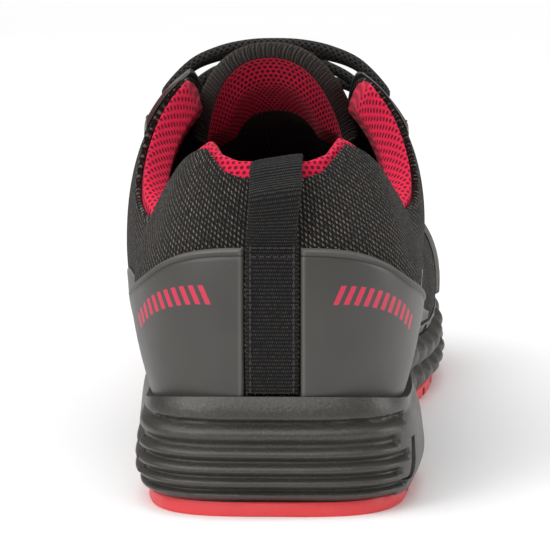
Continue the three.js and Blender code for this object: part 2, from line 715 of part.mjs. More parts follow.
// Arched padded tongue: v runs from its free edge to its toe end, and u round each section,
// out over the arch and back under it. The first and last rows close the ends.
function tonguePoint(u, v, target) {
  const around = 2 * tongueSteps + 2;
  const ring = Math.round(u * around) % around;
  const under = ring > tongueSteps;
  const turn = Math.PI * (under ? around - 1 - ring : ring) / tongueSteps;
  const row = Math.round(v * (tongueRows + 2)) - 1;
  const closed = row < 0 || row > tongueRows;
  const share = THREE.MathUtils.clamp(row / tongueRows, 0, 1);
  const deep = (closed ? 0.5 : Number(under)) * tonguePadding;
  const [first, last] = [TONGUE[0].at, TONGUE[TONGUE.length - 1].at];
  const head = first + tongueSweep * Math.abs(Math.cos(turn)) ** 4;
  const at = THREE.MathUtils.lerp(head, last, share);
  const y = at * shoeLength;
  const power = 2 / tongueRound;
  const sag = 1 - Math.max(Math.sin(turn), 0) ** power;
  const across = Math.sign(Math.cos(turn)) * Math.abs(Math.cos(turn)) ** power;
  const half = valueAt(TONGUE, "half", at) * ballWidth - deep;
  const lift = valueAt(TONGUE, "lift", at);
  const centre = valueAt(SOLE_SECTIONS, "centre", at) * ballWidth;
  const x = centre + across * half - tongueLean * lift * (1 - sag);
  const grow = -upperWall - 2 * clearance - deep + tongueLift * lift;
  const arch = valueAt(TONGUE, "arch", at) * instepHeight;
  return target.set(x, y, domeHeight(x, y, grow) - arch * sag);
}

function buildTongue() {
  const form = new ParametricGeometry(tonguePoint, 2 * tongueSteps + 2, tongueRows + 2);
  return solidOf(form).subtract(liningForm(2 * clearance));
}

// Place along the shoe of the upper's back at a height, on its middle line.
function heelBack(z) {
  const back = upperSetback.heel;
  const foot = upperSection(back, 0);
  const hub = upperSection(back + upperHub.heel, 0);
  const reach = THREE.MathUtils.clamp((z - foot.bed) / (foot.widest - foot.bed), 0, 1);
  const upward = THREE.MathUtils.clamp((z - foot.widest) / (hub.crown - foot.widest), 0, 1);
  const inward = 1 - (1 - upward ** foot.round) ** (1 / foot.round);
  return THREE.MathUtils.lerp(back + foot.inset * (1 - reach) ** 1.8, back + upperHub.heel, inward);
}

// Webbing sewn up the heel that stands off as a loop and goes over the collar into the shoe.
function buildPullStrap() {
  const over = clearance + webbing / 2 + 0.15;
  const rim = notch.height * heelHeight + liningRise;
  const inside = (z) => heelBack(z) + upperWall + clearance + collarPadding + over + 1.5;
  const sewn = 0.79 * heelHeight;
  const low = heelStack + 2 * clearance + 0.3;
  const line = [];
  for (let i = 0; i <= 6; i += 1) {
    const z = THREE.MathUtils.lerp(low, sewn, i / 6);
    line.push([heelBack(z) - over, z]);
  }
  const mid = (rim + sewn) / 2;
  line.push(
    [heelBack(mid) - over - 0.75 * loopStandoff, mid - 3],
    [heelBack(mid) - over - loopStandoff, mid + 4],
    [heelBack(rim) - over - 0.8 * loopStandoff, rim - 2],
    [heelBack(rim) - over - 0.1 * loopStandoff, rim + webbing + 0.3],
    [(heelBack(rim) + inside(rim)) / 2, rim + webbing + 0.9],
    [inside(rim) + 0.7, rim - 0.5],
    [inside(rim - 6), rim - 6],
    [inside(rim - 16), rim - 16],
  );
  const path = new THREE.SplineCurve(line.map(([y, z]) => new THREE.Vector2(y, z)));
  const outer = [];
  const inner = [];
  const steps = 30;
  for (let i = 0; i <= steps; i += 1) {
    const place = path.getPoint(i / steps);
    const along = path.getTangent(i / steps);
    outer.push([place.x - along.y * webbing / 2, place.y + along.x * webbing / 2]);
    inner.push([place.x + along.y * webbing / 2, place.y - along.x * webbing / 2]);
  }
  const outline = [...outer, ...inner.reverse()];
  return solidOf(sidePrism(outline, -strapWidth / 2, strapWidth / 2));
}

// Crossings of the lace from row to row, with the bars at the top and bottom eyelets and the
// short ends that stop inside the eyelets.
function buildLace() {
  const over = clearance + overlayThickness + laceRadius + 2 * clearance;
  const depth = 1;
  const places = eyeletPlaces();
  const find = (row, side) => places.find((place) => place.row === row && place.side === side);
  const crossing = (from, to) => {
    const points = [0, 0.15, 0.32, 0.5, 0.68, 0.85, 1].map((share) => overDome(
      THREE.MathUtils.lerp(from.x, to.x, share), THREE.MathUtils.lerp(from.y, to.y, share), over));
    return cordSolid(points, laceRadius, 5);
  };
  const turn = (place) => {
    const low = overDome(place.x, place.y, -depth);
    const high = overDome(place.x, place.y, over);
    const elbow = new THREE.SphereGeometry(1.15 * laceRadius, 6, 4).translate(high.x, high.y, high.z);
    return cordSolid([low, high], laceRadius, 1).add(solidOf(elbow));
  };
  const last = eyeletRows - 1;
  const cords = [crossing(find(0, -1), find(0, 1)), crossing(find(last, -1), find(last, 1))];
  for (let row = 0; row < last; row += 1) {
    cords.push(crossing(find(row, -1), find(row + 1, 1)), crossing(find(row, 1), find(row + 1, -1)));
  }
  return [...cords, ...places.map(turn)].reduce((all, one) => all.add(one));
}

const MATERIALS = {
  knit: [COLOURS.knit, 0.95],
  overlay: [COLOURS.overlay, 0.5],
  foam: [COLOURS.foam, 0.8],
  rubber: [COLOURS.rubber, 0.55],
  lining: [COLOURS.lining, 0.95],
  webbing: [COLOURS.webbing, 0.9],
  lace: [COLOURS.lace, 0.9],
  insole: [COLOURS.insole, 0.95],
};

// Mesh of a solid, with its own material.
function meshOf(name, solid, look) {
  const { numProp, vertProperties, triVerts } = solid.simplify(smallestStep).getMesh();
  const geometry = new THREE.BufferGeometry();
  const places = new Float32Array(vertProperties.length / numProp * 3);
  for (let i = 0; i < places.length / 3; i += 1) {
    places.set(vertProperties.subarray(i * numProp, i * numProp + 3), 3 * i);
  }
  geometry.setAttribute("position", new THREE.BufferAttribute(places, 3));
  geometry.setIndex(new THREE.BufferAttribute(new Uint32Array(triVerts), 1));
  geometry.computeVertexNormals();
  const [color, roughness] = MATERIALS[look];
  const material = new THREE.MeshStandardMaterial({ color, roughness, metalness: 0 });
  const mesh = new THREE.Mesh(geometry, material);
  mesh.name = name;
  return mesh;
}

const group = new THREE.Group();
group.add(
  meshOf("midsole", buildMidsole(), "foam"),
  meshOf("slot_insert_medial", buildSlotInsert(1), "foam"),
  meshOf("slot_insert_lateral", buildSlotInsert(-1), "foam"),
  meshOf("outsole", buildOutsole(), "rubber"),
  meshOf("upper", buildUpper(), "knit"),
  meshOf("insole", buildInsole(), "insole"),
  meshOf("collar_lining", buildLining(), "lining"),
  meshOf("counter_medial", counterHalf(1), "overlay"),
  meshOf("counter_lateral", counterHalf(-1), "overlay"),
  meshOf("side_panel_medial", sidePanel(1), "overlay"),
  meshOf("side_panel_lateral", sidePanel(-1), "overlay"),
  meshOf("eyestay", buildEyestay(), "overlay"),
  meshOf("toe_guard", buildToeGuard(), "overlay"),
  meshOf("tongue", buildTongue(), "knit"),
  meshOf("pull_strap", buildPullStrap(), "webbing"),
  meshOf("lace", buildLace(), "lace"),
);

// The origin is the middle of the shoe's footprint, on the floor.
const extent = new THREE.Box3().setFromObject(group);
const middle = extent.getCenter(new THREE.Vector3());
group.position.set(-middle.x, -middle.y, 0);

export default group;
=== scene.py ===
import math

import bmesh
import bpy
import numpy as np
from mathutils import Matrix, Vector


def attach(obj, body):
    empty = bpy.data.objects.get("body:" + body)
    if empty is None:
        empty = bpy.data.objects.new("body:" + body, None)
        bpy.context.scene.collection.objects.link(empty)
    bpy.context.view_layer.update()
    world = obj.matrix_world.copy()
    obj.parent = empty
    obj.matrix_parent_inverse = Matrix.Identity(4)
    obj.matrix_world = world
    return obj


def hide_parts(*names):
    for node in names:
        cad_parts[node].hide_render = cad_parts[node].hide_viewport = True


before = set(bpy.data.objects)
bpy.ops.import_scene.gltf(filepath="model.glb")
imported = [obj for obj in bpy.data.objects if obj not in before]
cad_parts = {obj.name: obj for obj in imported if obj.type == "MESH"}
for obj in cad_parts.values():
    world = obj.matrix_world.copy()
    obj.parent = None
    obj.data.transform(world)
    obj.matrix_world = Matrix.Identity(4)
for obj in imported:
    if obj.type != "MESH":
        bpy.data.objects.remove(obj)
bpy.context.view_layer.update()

# Safety sneaker for the left foot. Sizes are in millimetres in the shoe's own coordinates:
# +X medial, +Y from the heel's back to the toe, +Z up from the floor. `place` turns them into
# the frame's metres.
MM = 0.001
MIDDLE = np.array([2.4936, 147.6685, 0.0])

# Driving sizes.
SHOE_LENGTH = 296.0
BALL_WIDTH = 101.0
INSTEP_HEIGHT = 128.0
HEEL_HEIGHT = 103.0
HEEL_STACK = 36.0
TOE_SPRING = 16.0
CLEARANCE = 0.3
UPPER_WALL = 2.0
OVERLAY = 1.4
COLLAR_PADDING = 8.0
TONGUE_PADDING = 6.0
TONGUE_LIFT = 4.5
INSOLE = 4.5
OUTSOLE = 4.4
OUTSOLE_INSET = 4.0
LUG_DEPTH = 3.0
SLOT_WIDTH = 4.5
SLOT_DEPTH = 3.4
SLOT_RECESS = 1.2
LACE_RADIUS = 1.7
EYELET_RADIUS = 2.4
EYELET_ROWS = 5
EYELET_EDGE = 7.0
STRAP_WIDTH = 15.4
WEBBING = 1.5
LOOP_STANDOFF = 7.5
LINING_RISE = 2.4
LINING_THIN = 2.5
TOPLINE_SLANT = 0.035
NOTCH_HEIGHT = 0.962
TOPLINE_END = 0.340
THROAT_START = 0.28
THROAT_END = 0.655
SEWN_HEIGHT = 0.79 * HEEL_HEIGHT
EYELETS_AT = (0.372, 0.625)

# Heel slots: shares of the length and of the heel stack, and how far they lean per height.
SLOT_AT, SLOT_LOW, SLOT_HIGH, SLOT_LEAN = 0.055, 0.24, 0.58, 0.32

# Collar padding: its front end as a share of the length, its lower edge as places along the
# shoe and shares of the heel height, the heights between which it swells, and how far its
# rolled edge leans out at the heel and how much more in front.
LINING_FRONT = 0.365
LINING_BOTTOM = ([-20, 59.2, 94.1, 108], [0.578, 0.481, 0.637, 0.850])
LINING_SWELL = (0.553 * HEEL_HEIGHT, 0.767 * HEEL_HEIGHT)
LINING_ROLL = (1.7, 1.9)


def table(names, rows):
    """Columns of a table of numbers, by name."""
    return dict(zip(names.split(), np.array(rows, float).T))


# Sole sections: `at` is a share of the length, `centre` and `half` of the ball width, `lip`
# and `bed` of the heel stack.
SOLE = table("at centre half lip bed", [
    (0.00, 0.000, 0.400, 1.00, 0.67),
    (0.10, 0.008, 0.422, 0.87, 0.67),
    (0.20, 0.014, 0.434, 0.83, 0.65),
    (0.30, -0.006, 0.428, 0.92, 0.62),
    (0.40, -0.018, 0.414, 0.95, 0.58),
    (0.50, -0.010, 0.430, 0.88, 0.53),
    (0.60, 0.014, 0.465, 0.78, 0.48),
    (0.68, 0.032, 0.492, 0.73, 0.46),
    (0.74, 0.042, 0.500, 0.72, 0.45),
    (0.80, 0.053, 0.498, 0.72, 0.45),
    (0.86, 0.064, 0.490, 0.74, 0.45),
    (0.91, 0.072, 0.472, 0.77, 0.45),
    (0.95, 0.080, 0.448, 0.80, 0.45),
    (1.00, 0.092, 0.415, 0.84, 0.45),
])

# Sections of the upper: `half` and `inset` are shares of the ball width, `waist` and `crown`
# of the instep height, and `round` is the exponent of the dome over the widest line.
UPPER = table("at half inset waist crown round", [
    (0.00, 0.400, 0.040, 0.30, 0.980, 1.90),
    (0.08, 0.408, 0.072, 0.31, 0.995, 1.70),
    (0.16, 0.433, 0.096, 0.32, 1.010, 1.45),
    (0.22, 0.430, 0.100, 0.34, 1.025, 1.42),
    (0.27, 0.454, 0.104, 0.38, 1.025, 1.90),
    (0.33, 0.470, 0.098, 0.35, 1.010, 2.30),
    (0.40, 0.456, 0.088, 0.29, 0.955, 2.40),
    (0.50, 0.438, 0.064, 0.23, 0.820, 2.35),
    (0.60, 0.445, 0.044, 0.17, 0.680, 2.30),
    (0.68, 0.462, 0.034, 0.13, 0.590, 2.30),
    (0.76, 0.468, 0.030, 0.11, 0.525, 2.40),
    (0.84, 0.462, 0.026, 0.10, 0.475, 2.50),
    (0.91, 0.442, 0.023, 0.10, 0.440, 2.60),
    (1.00, 0.390, 0.021, 0.10, 0.420, 2.70),
])

# Collar edge: `up` is a share of the heel height.
TOPLINE = table("at up", [
    (0.000, 1.020), (0.040, 1.035), (0.080, 1.040), (0.120, 0.965), (0.170, 0.850),
    (0.218, 0.785), (0.270, 0.835), (0.312, 0.990), (0.340, 1.160),
])

# Half width of the throat as a share of the ball width.
THROAT = table("at half", [
    (0.28, 0.305), (0.36, 0.258), (0.46, 0.222), (0.56, 0.190), (0.63, 0.150),
])

# Tongue: `half` is a share of the ball width, `arch` of the instep height is how far its sides
# hang under the dome, and `lift` is the share of TONGUE_LIFT that raises its middle.
TONGUE = table("at half arch lift", [
    (0.310, 0.252, 0.170, 1.00), (0.360, 0.262, 0.150, 0.60), (0.420, 0.270, 0.085, 0.10),
    (0.500, 0.268, 0.015, 0.00), (0.600, 0.245, 0.000, -0.15), (0.680, 0.200, 0.000, -0.25),
    (0.716, 0.135, 0.000, -0.30),
])
TONGUE_ROUND = 2.3
TONGUE_SWEEP = 0.07
TONGUE_LEAN = 3.5
TONGUE_SWELL = 5.0

SOLE_ENDS = {"heel": 40, "heel_round": 3.6, "toe": 76, "toe_round": 2.45}
UPPER_ENDS = {"heel": 40, "heel_round": 2.5, "toe": 72, "toe_round": 2.5}
SETBACK = {"heel": 4, "toe": 7}
HUB = {"heel": 40, "toe": 58}

# Step of the sole's side: `at` is a share of its height, `inset` in millimetres.
SIDE = table("at inset", [(0.00, 2.4), (0.22, 0.0), (0.50, 0.4), (0.76, 1.5), (1.00, 4.0)])
RIB_GROOVES = [0.115, 0.246, 0.387, 0.537, 0.754]
RIB_DEPTH = 2.2

# Places at which the heel's ribs and the grooves between them end on each side, the length of
# both fades, the cells of the forefoot, and the bulge of the band under the rim.
MEDIAL_RIB_ENDS, LATERAL_RIB_ENDS, RIB_FADES = (10.5, 15.5), (44.0, 55.0), (2.0, 5.0)
CELL_ROWS, CELL_PITCH, CELL_DEPTH = 2.5, 14.0, 3.0
BAND_BULGE = 0.7

# Soft troughs and ridges of the upper. `at` is a share of the length and `up` of the heel
# height, `side` is 1 medial, -1 lateral, 0 both. `lean` tilts the fold, `depth`, `width` and
# `reach` are in millimetres, with a negative depth for a trough.
FOLDS = table("at up side lean depth width reach", [
    (0.105, 0.84, -1, 0.30, -0.9, 7, 13),
    (0.150, 0.72, -1, 0.25, 0.7, 8, 14),
    (0.120, 0.80, 1, 0.30, -0.8, 7, 12),
    (0.175, 0.70, 1, 0.20, 0.6, 8, 14),
    (0.235, 0.62, 0, 0.15, -0.8, 9, 12),
    (0.230, 0.52, 1, 0.00, -2.4, 34, 25),
    (0.640, 0.62, 0, 0.10, -0.7, 6, 26),
    (0.690, 0.58, 0, 0.10, 0.5, 7, 26),
    (0.735, 0.54, 0, 0.08, -0.6, 6, 24),
])


def lerp(a, b, share):
    return a + (b - a) * share


def unit(vectors):
    """Vectors brought to length one."""
    return vectors / np.linalg.norm(vectors, axis=-1, keepdims=True)


def arc_length(points, axis=1):
    """Run along one axis of a grid of points."""
    steps = np.linalg.norm(np.diff(points, axis=axis), axis=-1)
    start = np.zeros_like(np.take(steps, [0], axis=axis))
    return np.concatenate([start, np.cumsum(steps, axis=axis)], axis=axis)


def smoothstep(value, low, high):
    share = np.clip((value - low) / (high - low), 0, 1)
    return share * share * (3 - 2 * share)


def value_at(rows, column, at):
    """Smooth value of a table's column, as a cubic through its rows."""
    places, values = rows["at"], rows[column]
    last = len(places) - 1
    before = np.maximum(np.arange(last + 1) - 1, 0)
    after = np.minimum(np.arange(last + 1) + 1, last)
    slopes = (values[after] - values[before]) / (places[after] - places[before])
    share = np.clip(at, places[0], places[-1])
    low = np.clip(np.searchsorted(places, share, side="left") - 1, 0, last - 1)
    span = places[low + 1] - places[low]
    t = (share - places[low]) / span
    start = (1 + 2 * t) * (1 - t) ** 2 * values[low] + t * (1 - t) ** 2 * span * slopes[low]
    end = t * t * (3 - 2 * t) * values[low + 1] + t * t * (t - 1) * span * slopes[low + 1]
    return start + end


def sole_rise(y):
    """Height of the sole's underside over the floor."""
    start = 0.66 * SHOE_LENGTH
    reach = np.maximum(0, (y - start) / (SHOE_LENGTH - start))
    return TOE_SPRING * reach ** 1.8


def sole_value(column, y):
    return value_at(SOLE, column, y / SHOE_LENGTH)


def centre_at(y):
    return sole_value("centre", y) * BALL_WIDTH


def lip_at(y):
    """Height of the midsole's upper rim."""
    return sole_value("lip", y) * HEEL_STACK + sole_rise(y)


def end_cap(y, back, front, ends):
    """Share of the full width that the rounded heel and toe leave."""
    heel = 1 - (1 - np.clip((y - back) / ends["heel"], 0, 1)) ** ends["heel_round"]
    toe = 1 - (1 - np.clip((front - y) / ends["toe"], 0, 1)) ** ends["toe_round"]
    return heel ** (1 / ends["heel_round"]) * toe ** (1 / ends["toe_round"])


def station(way):
    """Side and share of the length for a way round: 0 heel, 0.5 toe, negative lateral."""
    return np.where(way >= 0, 1.0, -1.0), (1 - np.cos(2 * np.pi * np.abs(way))) / 2


def upper_sizes(y):
    at = y / SHOE_LENGTH
    bed = value_at(SOLE, "bed", at) * HEEL_STACK + sole_rise(y)
    return {
        "centre": centre_at(y),
        "half": value_at(UPPER, "half", at) * BALL_WIDTH,
        "inset": value_at(UPPER, "inset", at) * BALL_WIDTH,
        "bed": bed,
        "widest": bed + value_at(UPPER, "waist", at) * INSTEP_HEIGHT,
        "crown": value_at(UPPER, "crown", at) * INSTEP_HEIGHT + 0.6 * sole_rise(y),
        "round": value_at(UPPER, "round", at),
    }


def fold_depth(x, y, z):
    """How far the soft folds move the upper's surface outwards."""
    total = np.zeros(np.broadcast(x, y, z).shape)
    for at, up, side, lean, depth, width, reach in zip(*FOLDS.values()):
        height = z - up * HEEL_HEIGHT
        across = (y - at * SHOE_LENGTH - lean * height) / width
        here = smoothstep(side * (x - centre_at(y)), -4, 12) if side else 1.0
        total = total + here * depth * np.exp(-across ** 2 - (height / reach) ** 2)
    return total


def section_place(way, grow):
    """Station, sizes and edge of the upper's sections, before height is chosen."""
    side, share = station(way)
    back = SETBACK["heel"] - grow
    front = SHOE_LENGTH - SETBACK["toe"] + grow
    y = back + (front - back) * share
    hub_y = np.clip(y, SETBACK["heel"] + HUB["heel"], SHOE_LENGTH - SETBACK["toe"] - HUB["toe"])
    return side, y, hub_y, end_cap(y, back, front, UPPER_ENDS)


def upper_point(way, level, grow=0.0):
    """Upper's surface. Level 0 is the feather line, 1 the widest line and 2 the ridge."""
    side, y, hub_y, cap = section_place(way, grow)
    foot, hub = upper_sizes(y), upper_sizes(hub_y)
    angle = np.clip(level - 1, 0, 1) * np.pi / 2
    power = 2 / foot["round"]
    inward = 1 - np.maximum(np.cos(angle), 0) ** power
    inward = np.where(angle > np.pi / 2 - 1e-9, 1.0, inward)
    upward = np.maximum(np.sin(angle), 0) ** power
    wall_z = lerp(foot["bed"] - grow, foot["widest"], np.clip(level, 0, 1))
    return finish_point(side, y, hub_y, cap, foot, hub, wall_z, inward, upward, grow)


def finish_point(side, y, hub_y, cap, foot, hub, wall_z, inward, upward, grow):
    """Point of the upper from its place on the wall and its shares of the way to the ridge."""
    reach = np.clip((wall_z - foot["bed"]) / (foot["widest"] - foot["bed"]), 0, 1)
    feather = foot["inset"] * (1 - reach) ** 1.8
    capped = np.maximum((foot["half"] + grow) * cap - feather * cap, 0)
    edge_x = foot["centre"] + side * capped
    edge_y = y + np.sign(hub_y - y) * feather * (1 - cap)
    x = lerp(edge_x, hub["centre"], inward)
    along = lerp(edge_y, hub_y, inward)
    z = lerp(wall_z, hub["crown"] + grow, upward)
    return np.stack(np.broadcast_arrays(x, along, z), -1)


def wall_point(way, z, grow=0.0):
    """Upper's surface at a way round and a height."""
    side, y, hub_y, cap = section_place(way, grow)
    foot, hub = upper_sizes(y), upper_sizes(hub_y)
    upward = np.clip((z - foot["widest"]) / (hub["crown"] + grow - foot["widest"]), 0, 1)
    inward = 1 - (1 - upward ** foot["round"]) ** (1 / foot["round"])
    wall_z = np.minimum(z, foot["widest"])
    return finish_point(side, y, hub_y, cap, foot, hub, wall_z, inward, upward, grow)


def dome_height(x, y, grow=0.0):
    """Height of the upper's dome over a place in plan."""
    size = upper_sizes(y)
    across = np.minimum(np.abs(x - size["centre"]) / (size["half"] + grow), 0.999)
    rise = (1 - across ** size["round"]) ** (1 / size["round"])
    return size["widest"] + (size["crown"] + grow - size["widest"]) * rise


def dome_point(x, y, grow=0.0):
    x, y, grow = np.broadcast_arrays(x, y, grow)
    return np.stack([x, y, dome_height(x, y, grow)], -1)


def dome_normal(x, y):
    step = 0.5
    slope_x = (dome_height(x + step, y) - dome_height(x - step, y)) / (2 * step)
    slope_y = (dome_height(x, y + step) - dome_height(x, y - step)) / (2 * step)
    normal = np.stack([-slope_x, -slope_y, np.ones_like(slope_x)], -1)
    return unit(normal)


def over_dome(x, y, over):
    """Point over the upper's dome, out along its normal."""
    x, y, over = np.broadcast_arrays(np.asarray(x, float), y, over)
    return dome_point(x, y) + dome_normal(x, y) * over[..., None]


def topline_height(x, y, rise=0.0):
    """Collar edge over a place in plan, with its low notch at the strap."""
    line = value_at(TOPLINE, "up", y / SHOE_LENGTH) * HEEL_HEIGHT + TOPLINE_SLANT * x
    line = np.where(y > TOPLINE_END * SHOE_LENGTH, 2 * INSTEP_HEIGHT, line)
    half = STRAP_WIDTH / 2 + 1.5
    floor = NOTCH_HEIGHT * HEEL_HEIGHT
    notch = np.interp(np.abs(x), [half, half + 5, half + 14], [floor, floor + 1.5, floor + 11])
    notch = np.where(y < HUB["heel"], notch, 2 * INSTEP_HEIGHT)
    ahead = value_at(TOPLINE, "up", y / SHOE_LENGTH + 0.003) * HEEL_HEIGHT + TOPLINE_SLANT * x
    slope = np.where(y < TOPLINE_END * SHOE_LENGTH, (ahead - line) / (0.003 * SHOE_LENGTH), 0)
    front = 1 + 0.6 * smoothstep(y / SHOE_LENGTH, 0.27, 0.32)
    return np.minimum(line, notch) + rise * front * np.sqrt(1 + np.clip(slope, -2.5, 2.5) ** 2)


def throat_half(y):
    """Half width of the throat's opening, rounded at its front end."""
    last = THROAT["at"][-1] * SHOE_LENGTH
    nose = THROAT_END * SHOE_LENGTH - last
    half = value_at(THROAT, "half", y / SHOE_LENGTH) * BALL_WIDTH
    round_off = np.sqrt(np.clip(1 - (np.maximum(y - last, 0) / nose) ** 2, 0, 1))
    return np.where(y < THROAT_START * SHOE_LENGTH, 0, half * round_off)


def place(points):
    return (np.asarray(points, float) - MIDDLE) * MM


def mesh_object(name, points, faces, material, uv=None, values=None, merge=0.0005, flat=False):
    """Object from points in shoe millimetres, with its closed surface facing outwards."""
    mesh = bpy.data.meshes.new(name)
    points = place(points)
    corners = [np.asarray(f, int) for f in faces] if isinstance(faces, list) else [faces]
    loops = np.concatenate([c.ravel() for c in corners])
    sizes = np.concatenate([np.full(len(c), c.shape[1]) for c in corners])
    mesh.vertices.add(len(points))
    mesh.vertices.foreach_set("co", points.ravel())
    mesh.loops.add(len(loops))
    mesh.loops.foreach_set("vertex_index", loops)
    mesh.polygons.add(len(sizes))
    mesh.polygons.foreach_set("loop_start", np.concatenate([[0], np.cumsum(sizes)[:-1]]))
    mesh.update(calc_edges=True)
    if uv is not None:
        layer = mesh.uv_layers.new(name="surface")
        layer.data.foreach_set("uv", np.asarray(uv, float).reshape(-1, 2)[loops].ravel())
    for key, value in (values or {}).items():
        mesh.attributes.new(key, "FLOAT", "POINT").data.foreach_set("value", np.ravel(value))
    if merge:
        work = bmesh.new()
        work.from_mesh(mesh)
        bmesh.ops.remove_doubles(work, verts=work.verts, dist=merge * MM)
        bmesh.ops.dissolve_degenerate(work, edges=work.edges, dist=merge * MM)
        bmesh.ops.recalc_face_normals(work, faces=work.faces)
        work.to_mesh(mesh)
        work.free()
    mesh.polygons.foreach_set("use_smooth", np.full(len(mesh.polygons), not flat))
    piece = bpy.data.objects.new(name, mesh)
    bpy.context.scene.collection.objects.link(piece)
    if material:
        mesh.materials.append(material)
    return piece


def grid_faces(columns, rows, wrap=False):
    index = np.arange(columns * rows).reshape(columns, rows)
    side = np.roll(index, -1, axis=1) if wrap else index[:, 1:]
    base = index if wrap else index[:, :-1]
    return np.stack([base[:-1], base[1:], side[1:], side[:-1]], -1)


def loft(name, rings, material, uv=None, values=None, caps=True, skip=None):
    """Closed profiles joined from one to the next. Caps pair each profile's two halves."""
    columns, rows = rings.shape[:2]
    quads = grid_faces(columns, rows, wrap=True)
    quads = quads[~skip] if skip is not None else quads.reshape(-1, 4)
    faces = [quads]
    if caps:
        index = np.arange(columns * rows).reshape(columns, rows)
        for ring in (index[0], index[-1]):
            there, back = ring[: rows // 2], ring[::-1][: rows // 2]
            faces.append(np.stack([there[:-1], there[1:], back[1:], back[:-1]], -1))
    return mesh_object(name, rings.reshape(-1, 3), faces, material, uv, values)


def closed_grid(name, grid, material, uv=None):
    """Surface whose first and last rows and columns meet along lines."""
    columns, rows = grid.shape[:2]
    faces = grid_faces(columns, rows).reshape(-1, 4)
    return mesh_object(name, grid.reshape(-1, 3), faces, material, uv)


def prism(name, outline, axis, low, high):
    """Closed prism of an outline in the two other axes."""
    outline = np.asarray(outline, float)
    count = len(outline)
    ends = []
    for level in (low, high):
        ends.append(np.insert(outline, axis, level, axis=1))
    points = np.concatenate(ends)
    first = np.arange(count)
    after = np.roll(first, -1)
    sides = np.stack([first, after, after + count, first + count], -1)
    caps = np.stack([first[::-1], first + count])
    return mesh_object(name, points, [sides, caps], None, flat=True)


def cut(piece, cutters, operation="DIFFERENCE"):
    """Cuts a piece with closed objects, which are then removed."""
    for cutter in cutters:
        finish = list(piece.data.materials)
        for solver in ("MANIFOLD", "EXACT"):
            change = piece.modifiers.new("cut", "BOOLEAN")
            change.operation = operation
            change.solver = solver
            change.object = cutter
            bpy.context.view_layer.update()
            graph = bpy.context.evaluated_depsgraph_get()
            result = bpy.data.meshes.new_from_object(piece.evaluated_get(graph))
            piece.modifiers.clear()
            if len(result.polygons):
                break
        result.materials.clear()
        for material in finish:
            result.materials.append(material)
        result.polygons.foreach_set("material_index", np.zeros(len(result.polygons), int))
        piece.data = result
        bpy.data.objects.remove(cutter)
    return piece


def sharpen(piece, degrees=35):
    """Keeps edges crisp where faces meet at more than an angle."""
    work = bmesh.new()
    work.from_mesh(piece.data)
    limit = math.radians(degrees)
    for edge in work.edges:
        edge.smooth = len(edge.link_faces) == 2 and edge.calc_face_angle(0) < limit
    work.to_mesh(piece.data)
    work.free()
    return piece


def finish_piece(piece, slot, *nodes):
    """Ties a piece to the shoe's body and hides the nodes that it stands for. Its finish, `slot`,
    is not used.
    """
    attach(piece, "root")
    if nodes:
        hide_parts(*nodes)
    return piece


